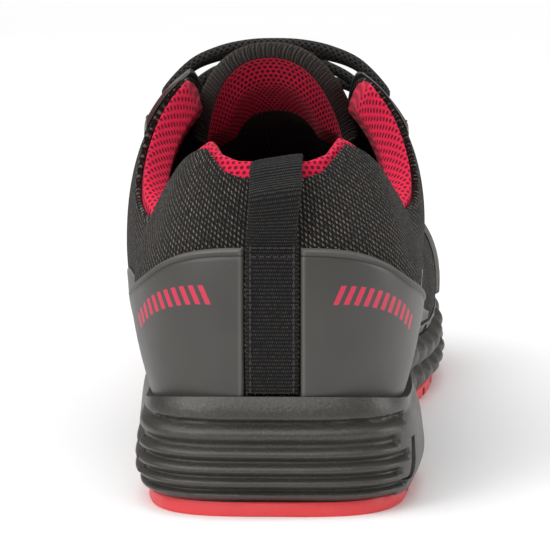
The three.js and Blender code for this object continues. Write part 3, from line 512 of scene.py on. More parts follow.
class Shader:
    """Grows one material's node tree."""

    def __init__(self, name, **constants):
        self.material = bpy.data.materials.new(name)
        self.material.use_nodes = True
        self.tree = self.material.node_tree
        self.tree.nodes.clear()
        self.surface = self.node("ShaderNodeBsdfPrincipled")
        output = self.node("ShaderNodeOutputMaterial")
        self.tree.links.new(self.surface.outputs[0], output.inputs["Surface"])
        for key, value in constants.items():
            self.surface.inputs[key.replace("_", " ")].default_value = value

    def node(self, kind, **settings):
        made = self.tree.nodes.new(kind)
        for key, value in settings.items():
            setattr(made, key, value)
        return made

    def feed(self, socket, value):
        if isinstance(value, bpy.types.NodeSocket):
            self.tree.links.new(value, socket)
        else:
            socket.default_value = value

    def math(self, operation, first, second=0.0, third=0.0):
        made = self.node("ShaderNodeMath", operation=operation)
        for socket, value in zip(made.inputs, (first, second, third)):
            self.feed(socket, value)
        return made.outputs[0]

    def attribute(self, name):
        return self.node("ShaderNodeAttribute", attribute_name=name).outputs["Fac"]

    def split(self, vector):
        made = self.node("ShaderNodeSeparateXYZ")
        self.feed(made.inputs[0], vector)
        return made.outputs

    def uv(self):
        """Surface coordinates in millimetres."""
        return self.split(self.node("ShaderNodeUVMap", uv_map="surface").outputs[0])

    def place(self):
        """Object coordinates in metres."""
        return self.node("ShaderNodeTexCoord").outputs["Object"]

    def noise(self, vector, scale, detail=2.0, rough=0.5, stretch=None):
        if stretch:
            scaled = self.node("ShaderNodeMapping")
            self.feed(scaled.inputs["Vector"], vector)
            scaled.inputs["Scale"].default_value = stretch
            vector = scaled.outputs[0]
        made = self.node("ShaderNodeTexNoise")
        self.feed(made.inputs["Vector"], vector)
        made.inputs["Scale"].default_value = scale
        made.inputs["Detail"].default_value = detail
        made.inputs["Roughness"].default_value = rough
        return made.outputs[0]

    def cells(self, vector, scale):
        made = self.node("ShaderNodeTexVoronoi", feature="F1")
        self.feed(made.inputs["Vector"], vector)
        made.inputs["Scale"].default_value = scale
        made.inputs["Randomness"].default_value = 1.0
        return made.outputs["Distance"]

    def step(self, value, low, high):
        made = self.node("ShaderNodeMapRange", interpolation_type="SMOOTHSTEP")
        for socket, number in zip(made.inputs, (value, low, high, 0.0, 1.0)):
            self.feed(socket, number)
        return made.outputs[0]

    def mix(self, factor, first, second):
        made = self.node("ShaderNodeMix", data_type="RGBA")
        self.feed(made.inputs["Factor"], factor)
        self.feed(made.inputs[6], first)
        self.feed(made.inputs[7], second)
        return made.outputs[2]

    def blend(self, factor, first, second):
        made = self.node("ShaderNodeMix", data_type="FLOAT")
        self.feed(made.inputs[0], factor)
        self.feed(made.inputs[2], first)
        self.feed(made.inputs[3], second)
        return made.outputs[0]

    def set(self, name, value):
        self.feed(self.surface.inputs[name], value)

    def bump(self, *layers):
        """Stacks heights, each with its depth in millimetres."""
        normal = None
        for height, depth in layers:
            made = self.node("ShaderNodeBump")
            made.inputs["Strength"].default_value = 1.0
            made.inputs["Distance"].default_value = depth * MM
            self.feed(made.inputs["Height"], height)
            if normal is not None:
                self.feed(made.inputs["Normal"], normal)
            normal = made.outputs[0]
        self.feed(self.surface.inputs["Normal"], normal)


def rgb(red, green, blue):
    """Linear colour from 8-bit screen values."""
    def linear(value):
        share = value / 255
        return share / 12.92 if share <= 0.04045 else ((share + 0.055) / 1.055) ** 2.4
    return (linear(red), linear(green), linear(blue), 1.0)


def stitch_height(shader, wide, tall, steep):
    """Height of a knit: slanted stitches in staggered columns, 0 in the gaps and 1 on top."""
    across, up, _ = shader.uv()
    column = shader.math("DIVIDE", across, wide)
    arm = shader.math("SUBTRACT", shader.math("FRACT", column), 0.5)
    row = shader.math("MULTIPLY_ADD", shader.math("FLOOR", column), 0.5,
                      shader.math("DIVIDE", up, tall))
    row = shader.math("MULTIPLY_ADD", arm, steep, row)
    over = shader.math("ABSOLUTE", shader.math("SINE", shader.math("MULTIPLY", row, math.pi)))
    side = shader.math("COSINE", shader.math("MULTIPLY", arm, math.pi))
    return shader.math("MULTIPLY", shader.math("POWER", over, 0.9),
                       shader.math("POWER", shader.math("MAXIMUM", side, 0.0), 0.7))


def hole_height(shader, pitch, hole):
    """Height of a mesh with staggered round holes: 0 in a hole and 1 on the threads."""
    across, up, _ = shader.uv()
    row = shader.math("DIVIDE", up, pitch * 0.87)
    odd = shader.math("MULTIPLY", shader.math("MODULO", shader.math("FLOOR", row), 2.0), 0.5)
    column = shader.math("ADD", shader.math("DIVIDE", across, pitch), odd)
    dx = shader.math("SUBTRACT", shader.math("FRACT", column), 0.5)
    dy = shader.math("MULTIPLY", shader.math("SUBTRACT", shader.math("FRACT", row), 0.5), 0.87)
    far = shader.math("ADD", shader.math("POWER", shader.math("ABSOLUTE", dx), 2.0),
                      shader.math("POWER", shader.math("ABSOLUTE", dy), 2.0))
    return shader.step(shader.math("SQRT", far), hole * 0.55, hole)


def knit_material():
    shader = Shader("black_knit", Sheen_Weight=0.05, Sheen_Roughness=0.5, Specular_IOR_Level=0.25)
    loops = stitch_height(shader, 1.3, 1.6, 0.75)
    thread = shader.noise(shader.place(), 1300, 3, 0.7)
    print_wear_and_highlight_patches = shader.noise(shader.place(), 70, 3, 0.6)
    # Painted highlight: the tops of the loops are coloured light grey-brown, dimmed in patches.
    lit = shader.math("MULTIPLY", shader.step(loops, 0.5, 1.0), shader.step(thread, 0.38, 0.64))
    lit = shader.math("MULTIPLY", lit, shader.blend(print_wear_and_highlight_patches, 0.55, 1.0))
    shader.set("Base Color", shader.mix(lit, rgb(9, 8, 8), rgb(150, 137, 124)))
    shader.set("Roughness", shader.blend(loops, 0.95, 0.6))
    shader.bump((thread, 0.12), (loops, 0.8))
    return shader.material


def mesh_material(name, bright, deep, pitch, hole):
    shader = Shader(name, Sheen_Weight=0.08, Sheen_Roughness=0.5, Specular_IOR_Level=0.2)
    threads = hole_height(shader, pitch, hole)
    fine = shader.noise(shader.place(), 1600, 2, 0.6)
    soft = shader.noise(shader.place(), 90, 2, 0.5)
    lit = shader.mix(soft, bright, tuple(0.82 * c for c in bright[:3]) + (1.0,))
    lit = shader.mix(shader.math("MULTIPLY", fine, 0.22), lit, deep)
    # Painted shade: the holes take the darker `deep` copy of the red.
    shader.set("Base Color", shader.mix(threads, deep, lit))
    shader.set("Roughness", 0.85)
    shader.bump((fine, 0.08), (threads, 0.55))
    return shader.material


def overlay_material(name, low, high, bars=False):
    """Smooth coated sheet with a fine grain, with a painted highlight along its edges."""
    shader = Shader(name)
    place_now = shader.place()
    cloud = shader.noise(place_now, 35, 3, 0.55)
    grain = shader.noise(place_now, 2600, 2, 0.5)
    scuff = shader.noise(place_now, 420, 4, 0.7, stretch=(1, 1, 3))
    colour = shader.mix(cloud, low, high)
    edge = shader.attribute("edge")
    # Painted highlight: the sheet is coloured lighter near its edges, where the rounded rim catches
    # the light.
    edge_highlight = shader.step(edge, 1.6, 0.2)
    colour = shader.mix(shader.math("MULTIPLY", edge_highlight, 0.35), colour, rgb(128, 124, 118))
    marks = shader.math("MULTIPLY", shader.step(scuff, 0.62, 0.8), 0.22)
    colour = shader.mix(marks, colour, rgb(120, 116, 110))
    gloss = shader.blend(cloud, 0.5, 0.38)
    if bars:
        top = shader.attribute("top")
        # Painted shade: a dark line in the groove under the raised top border.
        line = shader.math("MULTIPLY", shader.step(top, 1.9, 2.15), shader.step(top, 2.6, 2.35))
        colour = shader.mix(shader.math("MULTIPLY", line, 0.75), colour, rgb(18, 17, 17))
        mask = bar_mask(shader)
        colour = shader.mix(mask, colour, rgb(196, 44, 74))
        gloss = shader.blend(mask, gloss, 0.5)
    shader.set("Base Color", colour)
    shader.set("Roughness", gloss)
    shader.bump((grain, 0.03), (cloud, 0.25))
    return shader.material


# Arc of red bars on the counters: where it starts and ends from the strap, the pitch and height
# of its bars, its share of the heel height, its drop and the bars' slant.
BAR_START, BAR_END, BAR_PITCH, BAR_TALL = 9.5, 43.5, 3.1, 5.8
BAR_LEVEL, BAR_DROP, BAR_SLANT = 0.64, 0.0105, -0.45


def bar_mask(shader):
    """Arc of short slanted bars: the run from the strap and the height are coordinates."""
    run, height, _ = shader.uv()
    along = shader.math("SUBTRACT", run, BAR_START)
    square = shader.math("POWER", shader.math("ABSOLUTE", along), 2.0)
    drop = shader.math("MULTIPLY", square, BAR_DROP)
    level = shader.math("ADD", shader.math("SUBTRACT", height, BAR_LEVEL * HEEL_HEIGHT), drop)
    slant = shader.math("MULTIPLY_ADD", level, BAR_SLANT, along)
    phase = shader.math("FRACT", shader.math("DIVIDE", slant, BAR_PITCH))
    bar = shader.step(shader.math("ABSOLUTE", shader.math("SUBTRACT", phase, 0.5)), 0.28, 0.24)
    tallness = shader.step(shader.math("ABSOLUTE", level), BAR_TALL / 2, BAR_TALL / 2 - 0.25)
    reach = BAR_END - BAR_START
    inside = shader.math("MULTIPLY", shader.step(slant, 0, 0.1),
                         shader.step(slant, reach, reach - 0.1))
    print_wear_and_highlight_patches = shader.step(shader.noise(shader.place(), 700, 3, 0.7), 0.22, 0.34)
    mask = shader.math("MULTIPLY", shader.math("MULTIPLY", bar, tallness), inside)
    return shader.math("MULTIPLY", mask, print_wear_and_highlight_patches)


def foam_material():
    """Moulded foam skin: dark, speckled and a little glossy, with painted highlight speckles."""
    shader = Shader("black_foam", Specular_IOR_Level=0.6)
    place_now = shader.place()
    cloud = shader.noise(place_now, 28, 3, 0.55)
    wave = shader.noise(place_now, 90, 3, 0.6, stretch=(0.35, 0.35, 1))
    grain = shader.noise(place_now, 1500, 4, 0.75)
    pits = shader.cells(place_now, 900)
    colour = shader.mix(cloud, rgb(36, 34, 31), rgb(58, 55, 49))
    # Painted highlight: light speckles stand for glints on the grainy skin.
    glint_speckles = shader.math("MULTIPLY", shader.step(grain, 0.52, 0.74), 0.5)
    shader.set("Base Color", shader.mix(glint_speckles, colour, rgb(112, 107, 98)))
    shader.set("Roughness", shader.blend(cloud, 0.32, 0.5))
    shader.bump((wave, 0.5), (grain, 0.07), (pits, 0.06))
    return shader.material


def insert_material():
    """Black insert with fine ribs across the slot."""
    shader = Shader("slot_rubber", Specular_IOR_Level=0.4)
    _, _, up = shader.split(shader.place())
    rib = shader.math("SINE", shader.math("MULTIPLY", up, 2 * math.pi / (1.3 * MM)))
    grain = shader.noise(shader.place(), 1800, 3, 0.6)
    # Painted light and shade: the rib crests are coloured lighter and the valleys black.
    shader.set("Base Color", shader.mix(shader.step(rib, 0.1, 0.9), rgb(8, 8, 8), rgb(44, 42, 40)))
    shader.set("Roughness", 0.6)
    shader.bump((grain, 0.04), (rib, 0.4))
    return shader.material


def rubber_material():
    shader = Shader("red_rubber")
    place_now = shader.place()
    cloud = shader.noise(place_now, 40, 3, 0.6)
    grain = shader.noise(place_now, 1200, 3, 0.6)
    colour = shader.mix(cloud, rgb(214, 52, 58), rgb(233, 76, 80))
    shader.set("Base Color", shader.mix(shader.step(grain, 0.6, 0.9), colour, rgb(190, 44, 52)))
    shader.set("Roughness", shader.blend(grain, 0.4, 0.6))
    shader.bump((grain, 0.05))
    return shader.material


def webbing_material():
    """Ribbed ribbon: fine ribs across, with painted highlight dots where their threads turn over.
    """
    shader = Shader("black_webbing", Sheen_Weight=0.05, Specular_IOR_Level=0.25)
    across, along, _ = shader.uv()
    turn = 2 * math.pi
    row = shader.math("DIVIDE", along, 1.1)
    rib = shader.math("SINE", shader.math("MULTIPLY", row, turn))
    odd = shader.math("MULTIPLY", shader.math("MODULO", shader.math("FLOOR", row), 2.0), 0.5)
    thread = shader.math("SINE", shader.math("MULTIPLY", shader.math("ADD", odd,
                         shader.math("DIVIDE", across, 0.62)), turn))
    fuzz = shader.noise(shader.place(), 1700, 3, 0.7)
    # Painted highlight: light dots on the crests of the ribs and threads.
    dots = shader.math("MULTIPLY", shader.step(rib, 0.25, 0.95), shader.step(thread, -0.5, 0.8))
    light = shader.math("MULTIPLY", dots, shader.step(fuzz, 0.34, 0.66))
    shader.set("Base Color", shader.mix(light, rgb(9, 9, 9), rgb(92, 86, 82)))
    shader.set("Roughness", 0.8)
    shader.bump((thread, 0.08), (rib, 0.16), (fuzz, 0.08))
    return shader.material


def lace_material():
    """Round braid: two families of slanted strands."""
    shader = Shader("black_lace", Sheen_Weight=0.05, Specular_IOR_Level=0.25)
    around, along, _ = shader.uv()
    strands = []
    for way in ("ADD", "SUBTRACT"):
        slanted = shader.math(way, along, around)
        strands.append(shader.math("SINE", shader.math("MULTIPLY", slanted, math.pi)))
    braid = shader.math("MAXIMUM", *strands)
    fuzz = shader.noise(shader.place(), 1800, 2, 0.6)
    # Painted highlight: the crests of the strands are coloured lighter.
    light = shader.math("MULTIPLY", shader.step(braid, 0.3, 1.0), fuzz)
    shader.set("Base Color", shader.mix(light, rgb(9, 9, 9), rgb(74, 70, 67)))
    shader.set("Roughness", 0.8)
    shader.bump((braid, 0.22), (fuzz, 0.08))
    return shader.material


def thread_material():
    shader = Shader("thread", Sheen_Weight=0.3)
    twist = shader.noise(shader.place(), 2500, 2, 0.5)
    shader.set("Base Color", shader.mix(twist, rgb(10, 10, 10), rgb(40, 38, 37)))
    shader.set("Roughness", 0.7)
    shader.bump((twist, 0.05))
    return shader.material


def felt_material():
    shader = Shader("insole_cloth", Sheen_Weight=0.3)
    across, along, _ = shader.uv()
    weave = shader.math("MULTIPLY", shader.math("SINE", shader.math("MULTIPLY", across, 5.2)),
                        shader.math("SINE", shader.math("MULTIPLY", along, 5.2)))
    fuzz = shader.noise(shader.place(), 1200, 3, 0.6)
    shader.set("Base Color", shader.mix(fuzz, rgb(30, 28, 28), rgb(58, 54, 54)))
    shader.set("Roughness", 0.95)
    shader.bump((weave, 0.15), (fuzz, 0.1))
    return shader.material


MATERIALS = {
    "knit": knit_material(),
    # The second colour is painted shade in the mesh's holes.
    "red_mesh": mesh_material("red_mesh", rgb(240, 34, 78), rgb(120, 10, 34), 1.9, 0.34),
    "counter": overlay_material("counter_sheet", rgb(50, 49, 47), rgb(72, 70, 66), bars=True),
    "panel": overlay_material("panel_sheet", rgb(24, 23, 23), rgb(40, 38, 37)),
    "overlay": overlay_material("overlay_sheet", rgb(44, 43, 42), rgb(62, 60, 58)),
    "foam": foam_material(),
    "insert": insert_material(),
    "rubber": rubber_material(),
    "webbing": webbing_material(),
    "lace": lace_material(),
    "thread": thread_material(),
    "insole": felt_material(),
}


SAMPLES = 241
LEVELS = np.linspace(0, 2, SAMPLES)


def crossing(field):
    """Level of each column at which a field that rises with the level passes zero."""
    over = field > 0
    passed = over.any(axis=1)
    index = np.clip(np.argmax(over, axis=1), 1, None)
    index[~passed] = SAMPLES - 1
    rows = np.arange(len(field))
    low, high = field[rows, index - 1], field[rows, index]
    share = np.clip(-low / np.where(high == low, 1, high - low), 0, 1)
    return lerp(LEVELS[index - 1], LEVELS[index], np.where(passed, share, 1))


def rim_level(ways, grow, rise=0.0, widen=0.0):
    """Level of the upper's free edge: the collar, then the throat, then the ridge."""
    points = upper_point(ways[:, None], LEVELS[None, :], grow)
    x, y, z = np.moveaxis(points, -1, 0)
    collar = z - topline_height(x, y, rise)
    throat = throat_half(y) + widen - np.abs(x - centre_at(y))
    throat = np.where(throat_half(y) > 0, throat, -1.0)
    return crossing(np.maximum(collar, np.where(z > 60, throat, -1.0)))


def levels_below(ways, top, distances, grow):
    """Levels at distances down from each column's top level, both in millimetres."""
    points = upper_point(ways[:, None], LEVELS[None, :], grow)
    arcs = arc_length(points)
    result = []
    for column, level, row in zip(arcs, top, distances):
        end = np.interp(level, LEVELS, column)
        result.append(np.interp(end - row, column, LEVELS))
    return np.array(result)


def level_at_height(ways, heights, grow):
    """Level of each column at a height."""
    points = upper_point(ways[:, None], LEVELS[None, :], grow)
    result = [np.interp(h, column, LEVELS) for h, column in zip(heights, points[..., 2])]
    return np.array(result)


def way_numbers(count, extra=()):
    """Ways round one side from heel to toe, with extra ones near a place along the shoe."""
    ways = list(np.linspace(0, 0.5, count))
    for low, high, number in extra:
        for y in np.linspace(low, high, number):
            share = (y - SETBACK["heel"]) / (SHOE_LENGTH - SETBACK["heel"] - SETBACK["toe"])
            ways.append(math.acos(1 - 2 * share) / (2 * math.pi))
    ways = np.unique(np.round(ways, 6))
    return np.concatenate([-ways[:0:-1], ways])


def grown(way, level, grow):
    """Upper's surface with the soft folds pressed into it."""
    base = upper_point(way, level, grow)
    return upper_point(way, level, grow + fold_depth(*np.moveaxis(base, -1, 0)))


def upper_rings():
    """Profiles of the upper's wall, down the outside from the feather line to the inside's."""
    ways = way_numbers(216, [(0.62 * SHOE_LENGTH, THROAT_END * SHOE_LENGTH + 1, 12)])
    top = rim_level(ways, -UPPER_WALL / 2)
    ridge = top > 2 - 1e-6
    turn = np.linspace(0, np.pi, 9)
    radius = UPPER_WALL / 2
    outer_rows, inner_rows = 58, 20
    points = upper_point(ways[:, None], LEVELS[None, :], -radius)
    full = np.array([np.interp(t, LEVELS, a) for t, a in zip(top, arc_length(points))])
    outer = radius + (full[:, None] - radius) * np.linspace(1, 0, outer_rows)[None, :]
    inner = radius + (full[:, None] - radius) * np.linspace(0, 1, inner_rows)[None, :]
    edge = np.tile(radius * (1 - np.sin(turn)), (len(ways), 1))
    outer[ridge] = full[ridge, None] * np.linspace(1, 0, outer_rows)[None, :]
    inner[ridge] = full[ridge, None] * np.linspace(0, 1, inner_rows)[None, :]
    edge[ridge] = 0
    middle = np.tile(-radius + radius * np.cos(turn), (len(ways), 1))
    middle[ridge] = np.where(turn < np.pi / 2, 0, -UPPER_WALL)
    distance = np.concatenate([outer, edge[:, 1:-1], inner], axis=1)
    grow = np.concatenate([np.zeros_like(outer), middle[:, 1:-1],
                           np.full_like(inner, -UPPER_WALL)], axis=1)
    level = levels_below(ways, top, distance, -radius)
    rings = grown(ways[:, None], level, grow)
    skip = np.zeros((len(ways) - 1, distance.shape[1]), bool)
    both = ridge[:-1] & ridge[1:]
    skip[both, outer_rows - 1:outer_rows + len(turn) - 2] = True
    around = arc_length(rings[:, outer_rows // 2][None])[0]
    uv = np.stack([np.broadcast_to(around[:, None], distance.shape),
                   full[:, None] - distance], -1)
    return rings, uv, skip


def eyelet_places():
    places = []
    for row in range(EYELET_ROWS):
        at = lerp(*EYELETS_AT, row / (EYELET_ROWS - 1))
        half = value_at(THROAT, "half", at) * BALL_WIDTH + EYELET_EDGE
        for side in (-1, 1):
            y = at * SHOE_LENGTH
            x = float(centre_at(y) + side * half)
            places.append({"row": row, "side": side, "x": x, "y": y})
    return places


def eyelet_cutters():
    """Rods through the eyelets, as one closed object."""
    points, quads, caps = [], [], []
    sides = 20
    for spot in eyelet_places():
        normal = dome_normal(np.array(spot["x"]), spot["y"])
        first = np.cross(normal, [0, 1, 0])
        first /= np.linalg.norm(first)
        second = np.cross(normal, first)
        centre = dome_point(spot["x"], spot["y"])
        start = len(points)
        for reach in (-6, 6):
            for i in range(sides):
                turn = 2 * math.pi * i / sides
                ring = first * math.cos(turn) + second * math.sin(turn)
                points.append(centre + normal * reach + ring * EYELET_RADIUS)
        index = start + np.arange(sides)
        after = start + np.roll(np.arange(sides), -1)
        quads.append(np.stack([index, after, after + sides, index + sides], -1))
        caps.append(np.stack([index[::-1], index + sides]))
    return mesh_object("eyelets", points, [np.concatenate(quads), np.concatenate(caps)], None)


def build_upper():
    rings, uv, skip = upper_rings()
    piece = loft("upper_knit", rings, MATERIALS["knit"], uv, caps=False, skip=skip)
    cut(piece, [eyelet_cutters()])
    return finish_piece(piece, "knit", "upper")


def upper_form(name, grow):
    """Closed form of the upper, for cutting the sole's bed."""
    ways = way_numbers(150)
    levels = np.concatenate([np.linspace(0, 1, 26), np.linspace(1, 2, 24)[1:]])
    side = upper_point(ways[:, None], levels[None, :], grow)
    _, _, hub_y, _ = section_place(ways, grow)
    hub = upper_sizes(hub_y)
    spine = np.stack([hub["centre"], hub_y, hub["bed"] - grow], -1)
    return closed_grid(name, np.concatenate([spine[:, None], side], axis=1), None)


def rib_profile(up):
    """Depth share of the soft valleys between the ribs over the heel's height."""
    edges = [0.0] + RIB_GROOVES
    depth = np.zeros_like(up)
    for low, high in zip(edges, edges[1:]):
        share = (up - low) / (high - low)
        valley = (0.5 + 0.5 * np.cos(2 * np.pi * np.clip(share, 0, 1))) ** 1.3
        depth = np.where((share >= 0) & (share <= 1), valley, depth)
    last = RIB_GROOVES[-1]
    return np.where(up > last, 1 - smoothstep(up, last, last + 0.05), depth)


def sole_hub(y):
    """Place on the sole's spine that belongs to a place along the shoe."""
    return np.clip(y, SOLE_ENDS["heel"], SHOE_LENGTH - SOLE_ENDS["toe"])


def outline_run(way):
    """Distance round the sole's outline from the heel's middle, in millimetres."""
    ways = np.linspace(0, 0.5, 400)
    _, share = station(ways)
    y = SHOE_LENGTH * share
    x = sole_value("half", y) * BALL_WIDTH * end_cap(y, 0, SHOE_LENGTH, SOLE_ENDS)
    return np.interp(np.abs(way), ways, arc_length(np.stack([x, y], -1), 0))


def sole_side(way, up, grow=0.0):
    """Side of the midsole at a way round and a share of its height."""
    side, share = station(way)
    back, front = -grow, SHOE_LENGTH + grow
    y = back + (front - back) * share
    hub_y = sole_hub(y)
    low = OUTSOLE + CLEARANCE + sole_rise(y) - grow
    high = lip_at(y) + grow
    half = sole_value("half", y) * BALL_WIDTH + grow
    cap = end_cap(y, back, front, SOLE_ENDS)
    edge = np.stack(np.broadcast_arrays(centre_at(y) + side * half * cap, y), -1)
    hub = np.stack(np.broadcast_arrays(centre_at(hub_y), hub_y), -1)
    inward = hub - edge
    inward = inward / np.maximum(np.linalg.norm(inward, axis=-1, keepdims=True), 1e-6)
    base = OUTSOLE + CLEARANCE
    level = (lerp(low, high, up) - sole_rise(y) - base) / (HEEL_STACK - base)
    band = np.floor(np.interp(level, [0.0] + RIB_GROOVES, np.arange(6)) + 0.5) % 2
    end = np.where(side > 0, lerp(*MEDIAL_RIB_ENDS, band), lerp(*LATERAL_RIB_ENDS, band))
    fade = np.where(side > 0, *RIB_FADES)
    ribs = rib_profile(level) * (1 - smoothstep(y, end, end + fade))
    rows = CELL_ROWS * np.minimum(up, 1)
    shifted = outline_run(way) / CELL_PITCH + 0.5 * (np.floor(rows) % 2)
    cells = np.abs(np.sin(np.pi * shifted)) ** 0.7 * np.abs(np.sin(np.pi * rows)) ** 0.7
    forward = smoothstep(y / SHOE_LENGTH, 0.47, 0.56) * (1 - smoothstep(up, 0.86, 0.95))
    bulge = BAND_BULGE * np.sin(np.pi * np.clip((level - 0.77) / 0.25, 0, 1)) * (1 - forward)
    inset = value_at(SIDE, "inset", up) + ribs * RIB_DEPTH
    inset = inset + CELL_DEPTH * (1 - cells) * forward - bulge
    plan = edge + inward * inset[..., None]
    z = lerp(low, high, up)
    return np.concatenate([plan, np.broadcast_to(z, plan.shape[:-1])[..., None]], -1)


def sole_spine(ways, up, grow=0.0):
    """Middle line of the midsole's top or bottom."""
    _, share = station(ways)
    y = -grow + (SHOE_LENGTH + 2 * grow) * share
    hub_y = sole_hub(y)
    low = OUTSOLE + CLEARANCE + sole_rise(hub_y) - grow
    return np.stack([centre_at(hub_y), hub_y, lerp(low, lip_at(hub_y) + grow, up)], -1)


def slot_outline(margin):
    """Corners of a heel slot seen from the side, made smaller by a margin."""
    floor = SLOT_LOW * HEEL_STACK
    low, high = floor + margin, SLOT_HIGH * HEEL_STACK - margin

    def back(z):
        return SLOT_AT * SHOE_LENGTH + SLOT_LEAN * (z - floor)

    return [(back(low) + margin, low), (back(low) + SLOT_WIDTH - margin, low),
            (back(high) + SLOT_WIDTH - margin, high), (back(high) + margin, high)]


def build_midsole():
    ways = way_numbers(300)
    ups = np.unique(np.concatenate([np.linspace(0, RIB_GROOVES[-1], 76),
                                    np.linspace(RIB_GROOVES[-1], 1, 18), RIB_GROOVES]))
    side = sole_side(ways[:, None], ups[None, :])
    grid = np.concatenate([sole_spine(ways, 0.0)[:, None], side,
                           sole_spine(ways, 1.0)[:, None]], axis=1)
    piece = closed_grid("midsole_foam", grid, MATERIALS["foam"])
    for side_sign in (1, -1):
        low, high = sorted((0, side_sign * BALL_WIDTH))
        slot = prism("slot", slot_outline(0), 0, low, high)
        cut(slot, [sole_form("slot_floor", -SLOT_DEPTH)])
        cut(piece, [slot])
    cut(piece, [upper_form("bed", CLEARANCE)])
    sharpen(piece, 40)
    return finish_piece(piece, "foam", "midsole")


def sole_form(name, grow):
    """Closed form of the midsole, for cutting the slots."""
    ways = way_numbers(90)
    ups = np.linspace(0, 1, 24)
    side = sole_side(ways[:, None], ups[None, :], grow)
    grid = np.concatenate([sole_spine(ways, 0.0, grow)[:, None], side,
                           sole_spine(ways, 1.0, grow)[:, None]], axis=1)
    return closed_grid(name, grid, None)


def build_slot_insert(name, side):
    """Ribbed insert at the bottom of a slot."""
    low, high = sorted((0, side * BALL_WIDTH))
    piece = prism(name, slot_outline(CLEARANCE), 0, low, high)
    cut(piece, [sole_form("band", -SLOT_RECESS)], "INTERSECT")
    cut(piece, [sole_form("band", CLEARANCE - SLOT_DEPTH)])
    piece.data.materials.clear()
    piece.data.materials.append(MATERIALS["insert"])
    sharpen(piece)
    return finish_piece(piece, "foam", name)


def build_outsole():
    ways = way_numbers(170)
    _, share = station(ways)
    back, front = OUTSOLE_INSET, SHOE_LENGTH - OUTSOLE_INSET
    y = back + (front - back) * share
    hub_y = sole_hub(y)
    half = sole_value("half", y) * BALL_WIDTH - OUTSOLE_INSET
    cap = end_cap(y, back, front, SOLE_ENDS)
    side, _ = station(ways)
    rows = [("spine", 0.0, 0.0), ("edge", 0.0, 0.7), ("edge", 0.2, 0.25), ("edge", 0.7, 0.0),
            ("edge", OUTSOLE - 0.4, 0.0), ("edge", OUTSOLE, 0.3), ("spine", OUTSOLE, 0.0)]
    grid = []
    for kind, up, inset in rows:
        at_y = hub_y if kind == "spine" else y + np.sign(hub_y - y) * inset * (1 - cap)
        x = centre_at(hub_y) if kind == "spine" else centre_at(y) + side * (half - inset) * cap
        grid.append(np.stack([x, at_y, sole_rise(at_y) + up], -1))
    piece = closed_grid("outsole_rubber", np.stack(grid, 1), MATERIALS["rubber"])
    cut(piece, tread_cutters())
    sharpen(piece, 30)
    return finish_piece(piece, "rubber", "outsole")


# Chevron grooves of the tread: share of the length, width and forward bend in millimetres.
GROOVES = table("at width bend", [
    (0.105, 4, 6), (0.175, 4, 6), (0.245, 4, 6), (0.54, 5, -8), (0.60, 4, -8),
    (0.66, 4, -8), (0.72, 4, -8), (0.78, 4, -8), (0.84, 4, -8), (0.90, 4, -8),
])


def tread_cutters():
    """Prisms that cut the chevrons and the waist into the outsole."""
    reach = 0.7 * BALL_WIDTH
    cutters = []
    for at, width, bend in zip(*GROOVES.values()):
        y = at * SHOE_LENGTH
        outline = [(-reach, y + bend), (0, y), (reach, y + bend),
                   (reach, y + bend + width), (0, y + width), (-reach, y + bend + width)]
        cutters.append(prism("groove", outline, 2, -5, LUG_DEPTH + float(sole_rise(y))))
    low, high = 0.335 * SHOE_LENGTH, 0.455 * SHOE_LENGTH
    waist = [(-reach, low), (reach, low), (reach, high), (-reach, high)]
    cutters.append(prism("waist", waist, 2, -5, LUG_DEPTH))
    return cutters


def build_insole():
    inside = -UPPER_WALL - CLEARANCE - 0.1
    ways = way_numbers(110)
    _, y, hub_y, _ = section_place(ways, inside)
    bed, hub_bed = upper_sizes(y)["bed"], upper_sizes(hub_y)["bed"]
    centre = centre_at(hub_y)
    rows = []
    for up, inset in ((0.1, 0.0), (0.3, 0.0), (2.5, 0.0), (3.8, 0.3), (4.3, 0.9), (4.4, 1.8)):
        rows.append(wall_point(ways, bed + up, inside - inset))
    edge = rows[-1]
    spine = np.stack([centre, hub_y, hub_bed + INSOLE - 0.1], -1)
    for share in np.linspace(0, 1, 16)[1:]:
        rows.append(lerp(edge, spine, share))
    low = np.stack([centre, hub_y, hub_bed + 0.1], -1)
    grid = np.concatenate([low[:, None], np.stack(rows, 1)], axis=1)
    piece = closed_grid("insole_pad", grid, MATERIALS["insole"], uv=grid[..., :2])
    return finish_piece(piece, "insole", "insole")


def lining_thickness(z):
    """Padding is thick at the collar and thin below the ankle."""
    swell = smoothstep(z, *LINING_SWELL)
    return LINING_THIN + (COLLAR_PADDING - LINING_THIN) * swell


